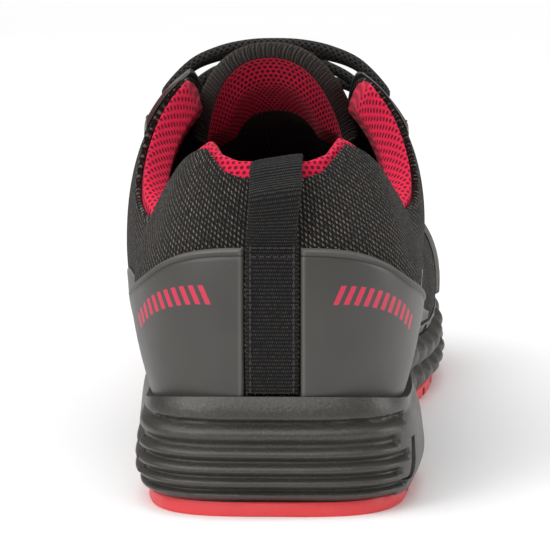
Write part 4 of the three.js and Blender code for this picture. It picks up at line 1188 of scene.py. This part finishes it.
def build_lining():
    front = LINING_FRONT * SHOE_LENGTH - 0.4
    half = way_numbers(560)
    half = half[half >= 0]
    _, y, _, _ = section_place(half, -6.0)
    half = half[y <= front]
    half = half[::2]
    ways = np.concatenate([-half[:0:-1], half])
    outside = -UPPER_WALL - CLEARANCE
    middle = outside - COLLAR_PADDING / 2
    top = rim_level(ways, middle, LINING_RISE, -LINING_RISE)
    _, y, _, _ = section_place(ways, middle)
    bottom_z = np.interp(y, *LINING_BOTTOM) * HEEL_HEIGHT
    bottom = level_at_height(ways, bottom_z, middle)
    points = upper_point(ways[:, None], LEVELS[None, :], middle)
    arcs = arc_length(points)
    full = np.array([np.interp(t, LEVELS, a) - np.interp(b, LEVELS, a)
                     for t, b, a in zip(top, bottom, arcs)])
    radius = COLLAR_PADDING / 2
    turn = np.linspace(0, np.pi, 19)
    rows = 34
    straight = radius + (full[:, None] - radius) * np.linspace(0, 1, rows)[None, :]
    distance = np.concatenate([straight[:, ::-1], np.tile(radius * (1 - np.sin(turn)),
                               (len(ways), 1))[:, 1:-1], straight], axis=1)
    level = levels_below(ways, top, distance, middle)
    heights = upper_point(ways[:, None], level, middle)[..., 2]
    thick = lining_thickness(heights)
    share = np.concatenate([np.zeros(rows), (1 - np.cos(turn))[1:-1] / 2, np.ones(rows)])
    grow = outside - thick * share[None, :]
    turned = np.concatenate([np.zeros(rows), turn[1:-1], np.full(rows, np.pi)])
    roll = np.sin(np.pi * np.clip((turned - 0.3) / 2.1, 0, 1)) ** 0.8
    lean = LINING_ROLL[0] + LINING_ROLL[1] * smoothstep(y, 62, 90)
    grow = grow + roll[None, :] * lean[:, None]
    rings = grown(ways[:, None], level, grow)
    around = arc_length(rings[:, rows][None])[0]
    along = arc_length(rings)
    uv = np.stack([np.broadcast_to(around[:, None], along.shape), along], -1)
    piece = loft("collar_padding", rings, MATERIALS["red_mesh"], uv)
    return finish_piece(piece, "lining", "collar_lining")


def ways_on_wall(heights, wanted, axis, side, low=0.0, high=0.5):
    """Ways at which the upper's wall has a wanted x or y at each height."""
    ways = np.linspace(low, high, 900)
    result = []
    for height, value in zip(heights, wanted):
        points = wall_point(side * ways, height, CLEARANCE)
        coordinate = points[:, axis] * (side if axis == 0 else 1)
        result.append(np.interp(value, coordinate, ways))
    return np.array(result)


def edge_distances(grid):
    """Distances to a grid's first column, last column and last row, and to the nearest."""
    near, up = arc_length(grid, 0), arc_length(grid, 1)
    far, top = near[-1:] - near, up[:, -1:] - up
    return near, far, top, np.minimum(np.minimum(near, far), top)


def eased(count):
    """Shares from 0 to 1 that crowd at both ends."""
    return (1 - np.cos(np.pi * np.linspace(0, 1, count))) / 2


def patch(name, material, surface, growth, uv, values):
    """Thin closed pad between a surface's inner and outer growth."""
    outer = surface(growth)
    inner = surface(np.full_like(growth, CLEARANCE))
    rings = np.concatenate([outer, inner[:, ::-1]], axis=1)
    both = np.concatenate([uv, uv[:, ::-1]], axis=1)
    doubled = {key: np.concatenate([v, v[:, ::-1]], axis=1) for key, v in values.items()}
    return loft(name, rings, material, both, doubled)


def rounded(edge, radius=0.8):
    """Share of the full thickness near a rounded edge."""
    return np.sqrt(np.clip(1 - (1 - np.clip(edge / radius, 0, 1)) ** 2, 0.04, 1))


def wall_patch(side, start, end, top, columns, rows):
    """Grid of ways and heights between two lines and over the midsole's rim, up to `top`."""
    heights = np.linspace(10, 105, 60)
    start_ways, end_ways = start(heights), end(heights)
    across, up = np.meshgrid(eased(columns), eased(rows), indexing="ij")
    y = np.full(across.shape, 60.0)
    for _ in range(25):
        z = lerp(lip_at(y) + 0.35, np.maximum(top(y), lip_at(y) + 0.8), up)
        way = lerp(np.interp(z, heights, start_ways), np.interp(z, heights, end_ways), across)
        y = wall_point(side * way, z, CLEARANCE)[..., 1]

    def surface(growth):
        base = wall_point(side * way, z, growth)
        return wall_point(side * way, z, growth + fold_depth(*np.moveaxis(base, -1, 0)))

    return surface, surface(np.full(way.shape, CLEARANCE))


# Top edges of the counter and the side panel, as shares of the length and of the heel height.
# Their shared edge and the toe guard's edge give the heights first.
COUNTER_TOP = ([-0.07, 0.0135, 0.0405, 0.0743, 0.1486, 0.2095],
               [0.785, 0.785, 0.750, 0.675, 0.585, 0.525])
PANEL_TOP = ([0.213, 0.284, 0.378, 0.507, 0.662], [0.525, 0.60, 0.54, 0.40, 0.28])
SHARED_EDGE = ([0.20, 0.40, 0.525], [0.2905, 0.25, 0.2095])
PANEL_END = 0.655
GUARD_BACK = 0.786
GUARD_EDGE = ([0.10, 0.40, 0.75], [0.784, 0.804, 0.851])
EASE_OFFSETS = (-5.0, -2.5, 0.0, 2.5, 5.0)


def line_height(rows, y):
    """Height of a line through points, at a place along the shoe."""
    return np.interp(y, np.array(rows[0]) * SHOE_LENGTH, np.array(rows[1]) * HEEL_HEIGHT)


def smooth_line(rows, y):
    """Height of a line through points, eased between them."""
    return sum(line_height(rows, y + offset) for offset in EASE_OFFSETS) / len(EASE_OFFSETS)


def shared_line(z, gap):
    """Edge between the counter and the side panel, at a height."""
    return np.interp(z, np.array(SHARED_EDGE[0]) * HEEL_HEIGHT,
                     np.array(SHARED_EDGE[1]) * SHOE_LENGTH) + gap


def build_counter(name, side):
    strap_half = STRAP_WIDTH / 2 + 2 * CLEARANCE

    def start(z):
        return ways_on_wall(z, np.full(len(z), strap_half), 0, side, 0.0, 0.12)

    def end(z):
        return ways_on_wall(z, shared_line(z, 0.0), 1, side)

    surface, base = wall_patch(side, start, end, lambda y: smooth_line(COUNTER_TOP, y), 150, 64)
    near, far, top, edge = edge_distances(base)
    border = 0.4 * np.exp(-((top - 1.0) / 0.65) ** 2) - 0.3 * np.exp(-((top - 2.3) / 0.35) ** 2)
    thin = lerp(0.5, 1.0, smoothstep(far, 0, 22))
    growth = CLEARANCE + thin * (OVERLAY + border) * rounded(edge)
    uv = np.stack([near, base[..., 2]], -1)
    piece = patch(name + "_wrap", MATERIALS["counter"], surface, growth, uv,
                  {"edge": edge, "top": top})
    return finish_piece(piece, "overlay", name)


def build_side_panel(name, side):
    def start(z):
        return ways_on_wall(z, shared_line(z, 1.0), 1, side)

    def end(z):
        return ways_on_wall(z, np.full(len(z), PANEL_END * SHOE_LENGTH), 1, side)

    surface, base = wall_patch(side, start, end, lambda y: smooth_line(PANEL_TOP, y), 150, 44)
    near, _, top, edge = edge_distances(base)
    growth = CLEARANCE + lerp(0.12, 0.6, smoothstep(top, 0, 14)) * OVERLAY * rounded(edge)
    uv = np.stack([near, base[..., 2]], -1)
    piece = patch(name + "_sheet", MATERIALS["panel"], surface, growth, uv, {"edge": edge})
    return finish_piece(piece, "overlay", name)


def build_toe_guard():
    ways = way_numbers(300)
    _, y, _, _ = section_place(ways, CLEARANCE)
    ways = ways[y > GUARD_BACK * SHOE_LENGTH]
    ways = np.concatenate([ways[ways > 0], ways[ways < 0] + 1.0])
    wrapped = np.where(ways > 0.5, ways - 1.0, ways)
    points = upper_point(wrapped[:, None], LEVELS[None, :], CLEARANCE)
    line = np.interp(points[..., 2] / HEEL_HEIGHT, *GUARD_EDGE)
    field = line * SHOE_LENGTH - points[..., 1]
    starts = level_at_height(wrapped, lip_at(points[:, 0, 1]) + 0.35, CLEARANCE)
    tops = crossing(np.where(LEVELS[None, :] < 0.2, -1, field))
    tops = np.maximum(tops, starts + 0.01)
    rows = eased(70)
    level = lerp(starts[:, None], tops[:, None], rows[None, :])
    way = np.broadcast_to(wrapped[:, None], level.shape)
    base = upper_point(way, level, CLEARANCE)
    near, _, top, edge = edge_distances(base)
    growth = CLEARANCE + OVERLAY * rounded(edge)
    uv = np.stack([near, top], -1)
    piece = patch("toe_guard_cap", MATERIALS["overlay"], lambda g: grown(way, level, g),
                  growth, uv, {"edge": edge})
    return finish_piece(piece, "overlay", "toe_guard")


def outline_x(y, up, grow):
    """Distance from the middle line at which the dome has a height."""
    size = upper_sizes(y)
    share = np.clip((up - size["widest"]) / (size["crown"] + grow - size["widest"]), 0, 1)
    return (size["half"] + grow) * (1 - share ** size["round"]) ** (1 / size["round"])


# Eyestay: its outer edge, its front end, and where its inner and outer edge start.
EYESTAY_EDGE = ([0.311, 0.405, 0.507, 0.601, 0.689, 0.712], [1.01, 0.93, 0.80, 0.66, 0.60, 0.60])
EYESTAY_FRONT = 0.692
EYESTAY_STARTS = (101.0, 91.0)


def build_eyestay():
    count, rows = 120, 40
    end_y = THROAT["at"][-1] * SHOE_LENGTH
    nose = THROAT_END * SHOE_LENGTH
    front = EYESTAY_FRONT * SHOE_LENGTH
    throat_y = lerp(EYESTAY_STARTS[0], end_y, np.linspace(0, 1, count))
    inner_side = np.stack([throat_half(throat_y), throat_y], -1)
    turn = np.linspace(0, np.pi / 2, 24)[1:]
    inner_nose = np.stack([throat_half(end_y) * np.cos(turn),
                           end_y + (nose - end_y) * np.sin(turn)], -1)
    inner = np.concatenate([inner_side, inner_nose])
    outer_y = lerp(EYESTAY_STARTS[1], front - 6, np.linspace(0, 1, count))
    up = line_height(EYESTAY_EDGE, outer_y)
    outer_side = np.stack([outline_x(outer_y, up, CLEARANCE), outer_y], -1)
    corner = outer_side[-1]
    outer_nose = np.stack([corner[0] * np.cos(turn) ** 0.7,
                           corner[1] + (front + 1 - corner[1]) * np.sin(turn) ** 0.8], -1)
    outer = np.concatenate([outer_side, outer_nose])
    share = eased(rows)
    half = inner[:, None] + (outer - inner)[:, None] * share[None, :, None]
    plan = np.concatenate([half, half[::-1][1:] * [-1, 1]])
    x, y = plan[..., 0] + centre_at(plan[..., 1]), plan[..., 1]
    for _ in range(12):
        z = dome_height(x, y, CLEARANCE)
        line = value_at(TOPLINE, "up", y / SHOE_LENGTH) * HEEL_HEIGHT + TOPLINE_SLANT * x
        over = np.where(y < TOPLINE_END * SHOE_LENGTH, np.maximum(z - line, 0), 0)
        y = y + 0.15 * over
    base = dome_point(x, y, CLEARANCE)
    across = arc_length(base, 0)
    up_arc = arc_length(base, 1)
    edge = np.minimum(np.minimum(across, across[-1:] - across),
                      np.minimum(up_arc, up_arc[:, -1:] - up_arc))
    thin = lerp(0.35, 1.0, smoothstep(across, 0, 12))
    growth = CLEARANCE + thin * OVERLAY * rounded(edge)

    def surface(grow):
        first = dome_point(x, y, grow)
        return dome_point(x, y, grow + fold_depth(*np.moveaxis(first, -1, 0)))

    uv = np.stack([across, up_arc], -1)
    piece = patch("eyestay_sheet", MATERIALS["overlay"], surface, growth, uv, {"edge": edge})
    cut(piece, [eyelet_cutters()])
    finish_piece(piece, "overlay", "eyestay")
    top = surface(growth)
    inset = 2.0
    seams = []
    for wanted in (np.full(len(up_arc), inset), up_arc[:, -1] - inset):
        path = np.array([[np.interp(w, arc, column[:, i]) for i in range(3)]
                         for w, arc, column in zip(wanted, up_arc, top)])[4:-4]
        seams.append((path, dome_normal(path[:, 0], path[:, 1])))
    stitch_rows("eyestay_stitches", seams, "overlay")


def tongue_point(turn, share, deep):
    """Tongue's surface `deep` millimetres under its outside. `turn` goes round its arch."""
    head = TONGUE["at"][0] + TONGUE_SWEEP * np.abs(np.cos(turn)) ** 4
    at = lerp(head, TONGUE["at"][-1], share)
    power = 2 / TONGUE_ROUND
    sag = 1 - np.maximum(np.sin(turn), 0) ** power
    across = np.sign(np.cos(turn)) * np.abs(np.cos(turn)) ** power
    half = value_at(TONGUE, "half", at) * BALL_WIDTH - deep
    lift = value_at(TONGUE, "lift", at)
    y = at * SHOE_LENGTH
    x = centre_at(y) + across * half - TONGUE_LEAN * lift * (1 - sag)
    grow = -UPPER_WALL - 2 * CLEARANCE - deep + TONGUE_LIFT * lift
    arch = value_at(TONGUE, "arch", at) * INSTEP_HEIGHT
    return np.stack([x, y, dome_height(x, y, grow) - arch * sag], -1)


def build_tongue():
    """Padded tongue with a knit binding round its free edge."""
    columns, rows = 150, 110
    turn, share = np.meshgrid(np.pi * eased(columns), np.linspace(0, 1, rows) ** 1.5, indexing="ij")
    radius = TONGUE_PADDING / 2
    middle = tongue_point(turn, share, radius)
    around, along = arc_length(middle, 0), arc_length(middle, 1)
    sides = np.minimum(around, around[-1:] - around)
    distance = np.minimum(sides, np.minimum(along, along[:, -1:] - along))
    pad = np.sqrt(np.clip(1 - (1 - np.clip(distance / radius, 0, 1)) ** 2, 0, 1))
    binding = 1.3
    dip = 0.4 * smoothstep(distance, binding - 0.6, binding + 0.2)
    puff = 0.5 * np.sin(np.pi * np.clip(distance / binding, 0, 1))
    swell = TONGUE_SWELL * smoothstep(distance, binding, 17) * (1 - smoothstep(along, 34, 62))
    outer = tongue_point(turn, share, radius * (1 - pad) - 0.4 * puff)
    inner = tongue_point(turn, share, radius + (radius - dip) * pad + 0.6 * puff + swell)
    rings = np.concatenate([outer, inner[:, ::-1]], axis=1)
    uv_one = np.stack([around - around[-1:] / 2, along], -1)
    uv = np.concatenate([uv_one, uv_one[:, ::-1]], axis=1)
    edge = np.concatenate([distance * 0, distance[:, ::-1]], axis=1)
    piece = loft("tongue_pad", rings, tongue_material(binding), uv, {"edge": edge})
    return finish_piece(piece, "knit", "tongue")


def tongue_material(binding):
    """Red spacer mesh inside a black knit binding, coloured black further in as painted shade;
    `edge` is 0 all over the outside.
    """
    shader = Shader("tongue_cloth", Sheen_Weight=0.06, Sheen_Roughness=0.5, Specular_IOR_Level=0.2)
    _, run, _ = shader.uv()
    inside = shader.step(shader.attribute("edge"), binding - 0.1, binding + 0.1)
    # Painted shade: past 36 mm down the tongue the mesh is coloured black like the binding.
    inside = shader.math("MULTIPLY", inside, shader.step(run, 37.0, 35.0))
    holes = hole_height(shader, 2.2, 0.40)
    loops = stitch_height(shader, 1.6, 1.2, 1.5)
    fine = shader.noise(shader.place(), 1500, 2, 0.6)
    # Painted shade: the mesh's holes are coloured dark red.
    red = shader.mix(holes, rgb(90, 8, 26), rgb(236, 34, 78))
    # Painted highlight: the binding's loop tops are coloured lighter.
    black = shader.mix(shader.math("MULTIPLY", loops, fine), rgb(9, 9, 9), rgb(96, 88, 82))
    shader.set("Base Color", shader.mix(inside, black, red))
    shader.set("Roughness", 0.85)
    relief = shader.blend(inside, shader.math("MULTIPLY", loops, 0.5), holes)
    shader.bump((fine, 0.08), (relief, 0.6))
    return shader.material


def smooth_path(points, count):
    """Even samples of a Catmull-Rom curve through points."""
    points = np.asarray(points, float)
    spans = len(points) - 1
    t = np.linspace(0, spans, count)
    index = np.minimum(t.astype(int), spans - 1)
    share = (t - index)[:, None]
    p0 = points[np.where(index == 0, 0, index - 1)]
    p1, p2 = points[index], points[index + 1]
    p3 = points[np.minimum(index + 2, spans)]
    v0, v1 = (p2 - p0) / 2, (p3 - p1) / 2
    cube, square = share ** 3, share ** 2
    return ((2 * p1 - 2 * p2 + v0 + v1) * cube + (-3 * p1 + 3 * p2 - 2 * v0 - v1) * square
            + v0 * share + p1)


def heel_back(z):
    """Place along the shoe of the upper's back at a height."""
    return wall_point(np.zeros(1), np.asarray([z], float))[0, 1]


def strap_line():
    """Middle line of the webbing, seen from the side."""
    over = CLEARANCE + WEBBING / 2 + 0.15
    rim = NOTCH_HEIGHT * HEEL_HEIGHT + LINING_RISE
    low = HEEL_STACK + 2 * CLEARANCE + 0.3
    inside = UPPER_WALL + CLEARANCE + COLLAR_PADDING + over + 1.5
    line = [(heel_back(z) - over, z) for z in np.linspace(low, SEWN_HEIGHT, 7)]
    mid = (rim + SEWN_HEIGHT) / 2
    line += [
        (heel_back(mid) - over - 0.75 * LOOP_STANDOFF, mid - 3),
        (heel_back(mid) - over - LOOP_STANDOFF, mid + 4),
        (heel_back(rim) - over - 0.8 * LOOP_STANDOFF, rim - 2),
        (heel_back(rim) - over - 0.1 * LOOP_STANDOFF, rim + WEBBING + 0.3),
        (heel_back(rim) + inside / 2, rim + WEBBING + 0.9),
        (heel_back(rim) + inside + 0.7, rim - 0.5),
        (heel_back(rim - 6) + inside, rim - 6),
        (heel_back(rim - 16) + inside, rim - 16),
    ]
    return smooth_path(line, 220)


def stitch_rows(name, rows, ride_on, pitch=2.4, length=1.8, radius=0.26):
    """Short raised stitches along paths. Each row is its points and the normals there."""
    centres, forwards, normals = [], [], []
    for path, normal in rows:
        run = arc_length(path, 0)
        spots = np.arange(pitch / 2, run[-1], pitch)
        along = np.gradient(path, axis=0)
        for values, kept in ((path, centres), (along, forwards), (normal, normals)):
            kept.append(np.stack([np.interp(spots, run, values[:, i]) for i in range(3)], -1))
    centre, forward, up = (np.concatenate(part) for part in (centres, forwards, normals))
    forward = unit(forward)
    up -= forward * np.sum(up * forward, axis=1, keepdims=True)
    up = unit(up)
    side = np.cross(forward, up)
    reach = np.sin(np.linspace(-np.pi / 2, np.pi / 2, 7))
    thick = radius * np.sqrt(1 - reach ** 2) ** 0.7
    turn = np.linspace(0, 2 * np.pi, 6, endpoint=False)
    ring = side[:, None] * np.cos(turn)[:, None] + up[:, None] * np.sin(turn)[:, None]
    spine = centre[:, None] + forward[:, None] * (reach * length / 2)[:, None]
    spine = spine + up[:, None] * (0.16 * (1 - reach ** 2))[:, None]
    points = spine[:, :, None] + ring[:, None] * thick[:, None, None]
    count, long, sides = points.shape[:3]
    index = np.arange(count * long * sides).reshape(count, long, sides)
    after = np.roll(index, -1, axis=2)
    faces = np.stack([index[:, :-1], index[:, 1:], after[:, 1:], after[:, :-1]], -1).reshape(-1, 4)
    piece = mesh_object(name, points.reshape(-1, 3), faces, MATERIALS["thread"])
    return finish_piece(piece, ride_on)


def build_strap():
    line = strap_line()
    along = unit(np.gradient(line, axis=0))
    normal = np.stack([-along[:, 1], along[:, 0]], -1)
    run = arc_length(line, 0)
    z = line[:, 1]
    pinch = 1 - 0.05 * np.exp(-((z - SEWN_HEIGHT - 6) / 6) ** 2)
    half = STRAP_WIDTH / 2 * pinch
    skew = 1.25 * smoothstep(z, SEWN_HEIGHT + 2, SEWN_HEIGHT + 16)
    turn = np.linspace(0, 2 * np.pi, 28, endpoint=False)
    across = np.sign(np.cos(turn)) * np.abs(np.cos(turn)) ** 0.45
    deep = np.sign(np.sin(turn)) * np.abs(np.sin(turn)) ** 0.8 * WEBBING / 2
    rib = 0.05 * np.sin(2 * np.pi * run / 1.1)
    thick = deep[None, :] + np.sign(deep)[None, :] * rib[:, None]
    x = across[None, :] * half[:, None] + 0.8 * skew[:, None]
    y = line[:, 0, None] + normal[:, 0, None] * thick
    up = line[:, 1, None] + normal[:, 1, None] * thick + skew[:, None] * across[None, :]
    rings = np.stack([x, y, up], -1)
    uv = np.stack([x, np.broadcast_to(run[:, None], x.shape)], -1)
    piece = loft("pull_loop", rings, MATERIALS["webbing"], uv)
    finish_piece(piece, "webbing", "pull_strap")
    sewn_part = z < SEWN_HEIGHT - 0.5
    rows = []
    outside = line[:, 0] - WEBBING / 2 - 0.05
    for offset in (-6.3, 6.3):
        path = np.stack([np.full(len(z), offset), outside, z], -1)[sewn_part]
        rows.append((path, np.tile([0, -1.0, 0], (len(path), 1))))
    across_x = np.linspace(-6.3, 6.3, 12)
    for height in (SEWN_HEIGHT - 1.5, SEWN_HEIGHT - 4.0):
        back = np.interp(height, z[sewn_part], line[sewn_part, 0]) - WEBBING / 2 - 0.05
        path = np.stack([across_x, np.full(12, back), np.full(12, height)], -1)
        rows.append((path, np.tile([0, -1.0, 0], (12, 1))))
    stitch_rows("strap_stitches", rows, "webbing", pitch=2.1, length=1.7, radius=0.22)


def tube(points, radius, sides=14):
    """Rings round a path, carried along without twist, and the path's run."""
    points = np.asarray(points, float)
    along = unit(np.gradient(points, axis=0))
    normal = np.cross(along[0], [0, 0, 1.0])
    if np.linalg.norm(normal) < 1e-3:
        normal = np.cross(along[0], [1.0, 0, 0])
    rings = []
    turn = np.linspace(0, 2 * np.pi, sides, endpoint=False)
    for centre, forward in zip(points, along):
        normal = normal - forward * np.dot(normal, forward)
        normal /= np.linalg.norm(normal)
        other = np.cross(forward, normal)
        ring = np.cos(turn)[:, None] * normal + np.sin(turn)[:, None] * other
        rings.append(centre + radius * ring)
    return np.array(rings), arc_length(points, 0)


def build_lace():
    """Bars and crossings, each out of one eyelet and into another."""
    over = CLEARANCE + OVERLAY + LACE_RADIUS + 2 * CLEARANCE
    places = {(spot["row"], spot["side"]): spot for spot in eyelet_places()}
    runs = [((0, -1), (0, 1), 0.0), ((EYELET_ROWS - 1, -1), (EYELET_ROWS - 1, 1), 0.0)]
    for row in range(EYELET_ROWS - 1):
        high = 1.0 if row % 2 == 0 else -1.0
        runs.append(((row, -1), (row + 1, 1), high))
        runs.append(((row, 1), (row + 1, -1), -high))
    points, faces, uv = [], [], []
    count = 0
    for start, end, lift in runs:
        a, b = places[start], places[end]
        share = np.linspace(0, 1, 9)
        x, y = lerp(a["x"], b["x"], share), lerp(a["y"], b["y"], share)
        rise = over + lift * 0.85 * LACE_RADIUS * np.exp(-((share - 0.5) / 0.14) ** 2)
        rise[[0, -1]] = over - 1.3
        middle = over_dome(x, y, rise)
        stubs = [over_dome(np.array([spot["x"]]), spot["y"], depth)
                 for spot, depth in ((a, -2.2), (a, 0.0), (b, 0.0), (b, -2.2))]
        path = np.concatenate([*stubs[:2], middle, *stubs[2:]])
        rings, run = tube(smooth_path(path, 90), LACE_RADIUS)
        columns, sides = rings.shape[:2]
        index = count + np.arange(columns * sides).reshape(columns, sides)
        after = np.roll(index, -1, axis=1)
        faces.append(np.stack([index[:-1], index[1:], after[1:], after[:-1]], -1).reshape(-1, 4))
        points.append(rings.reshape(-1, 3))
        around = np.linspace(0, 2 * np.pi * LACE_RADIUS, sides, endpoint=False)
        uv.append(np.stack(np.broadcast_arrays(around[None, :], run[:, None]), -1).reshape(-1, 2))
        count += columns * sides
    piece = mesh_object("lace_braid", np.concatenate(points), np.concatenate(faces),
                        MATERIALS["lace"], np.concatenate(uv), merge=0)
    return finish_piece(piece, "lace", "lace")


def aimed(name, data, forward, spot=(0, 0, 0)):
    """Adds a camera or a light that looks along a direction."""
    holder = bpy.data.objects.new(name, data)
    holder.location = spot
    holder.rotation_mode = "QUATERNION"
    holder.rotation_quaternion = Vector(forward).to_track_quat("-Z", "Y")
    bpy.context.scene.collection.objects.link(holder)
    return holder


def build_camera():
    """Straight view of the heel from a little above."""
    turn, rise = math.radians(-1.5), math.radians(9.0)
    target = Vector(place([-0.6, 60.0, 63.1]))
    flat = math.cos(rise)
    forward = Vector((math.sin(turn) * flat, math.cos(turn) * flat, -math.sin(rise)))
    camera = bpy.data.cameras.new("camera")
    camera.sensor_width = 36
    camera.lens = 233
    camera.clip_start, camera.clip_end = 0.05, 20
    distance = 1.090
    bpy.context.scene.camera = aimed("camera", camera, forward, target - forward * distance)


def area_light(name, spot, aim, size, power):
    """White softbox at a spot, turned to what it lights."""
    light = bpy.data.lights.new(name, "AREA")
    light.shape = "RECTANGLE"
    light.size, light.size_y = size
    light.energy = power
    aimed(name, light, Vector(aim) - Vector(spot), spot)


def build_studio():
    """White room with a broad soft sun and a softbox at each side."""
    world = bpy.data.worlds.new("studio")
    world.use_nodes = True
    tree = world.node_tree
    sky = tree.nodes["Background"]
    sky.inputs["Color"].default_value = (1, 1, 1, 1)
    seen = tree.nodes.new("ShaderNodeLightPath")
    level = tree.nodes.new("ShaderNodeMapRange")
    level.inputs["To Min"].default_value = 0.2
    level.inputs["To Max"].default_value = 1.0
    tree.links.new(seen.outputs["Is Camera Ray"], level.inputs["Value"])
    tree.links.new(level.outputs[0], sky.inputs["Strength"])
    bpy.context.scene.world = world
    bpy.context.scene.view_settings.view_transform = "Standard"
    sun = bpy.data.lights.new("sky_light", "SUN")
    sun.energy = 3.0
    sun.angle = math.radians(90)
    aimed("sky_light", sun, (0.4, 0.4, -1.0))
    middle = (0, -0.08, 0.06)
    area_light("key_left", (-0.6, -0.85, 0.6), middle, (0.4, 0.5), 2.2)
    area_light("rim_right", (0.95, -0.05, 0.4), middle, (0.25, 0.6), 3.5)
    half = 2.5
    corners = [(-half, -half, 0), (half, -half, 0), (half, half, 0), (-half, half, 0)]
    mesh = bpy.data.meshes.new("floor")
    mesh.from_pydata(corners, [], [(0, 1, 2, 3)])
    shader = Shader("floor_paper")
    tone = shader.noise(shader.place(), 3, 2, 0.5)
    shader.set("Base Color", shader.mix(tone, (0.96, 0.96, 0.96, 1), (1, 1, 1, 1)))
    shader.set("Roughness", 0.9)
    mesh.materials.append(shader.material)
    floor = bpy.data.objects.new("floor", mesh)
    bpy.context.scene.collection.objects.link(floor)


build_camera()
build_studio()
build_upper()
build_midsole()
build_slot_insert("slot_insert_medial", 1)
build_slot_insert("slot_insert_lateral", -1)
build_outsole()
build_insole()
build_lining()
build_counter("counter_medial", 1)
build_counter("counter_lateral", -1)
build_side_panel("side_panel_medial", 1)
build_side_panel("side_panel_lateral", -1)
build_eyestay()
build_toe_guard()
build_tongue()
build_strap()
build_lace()

bpy.context.view_layer.update()
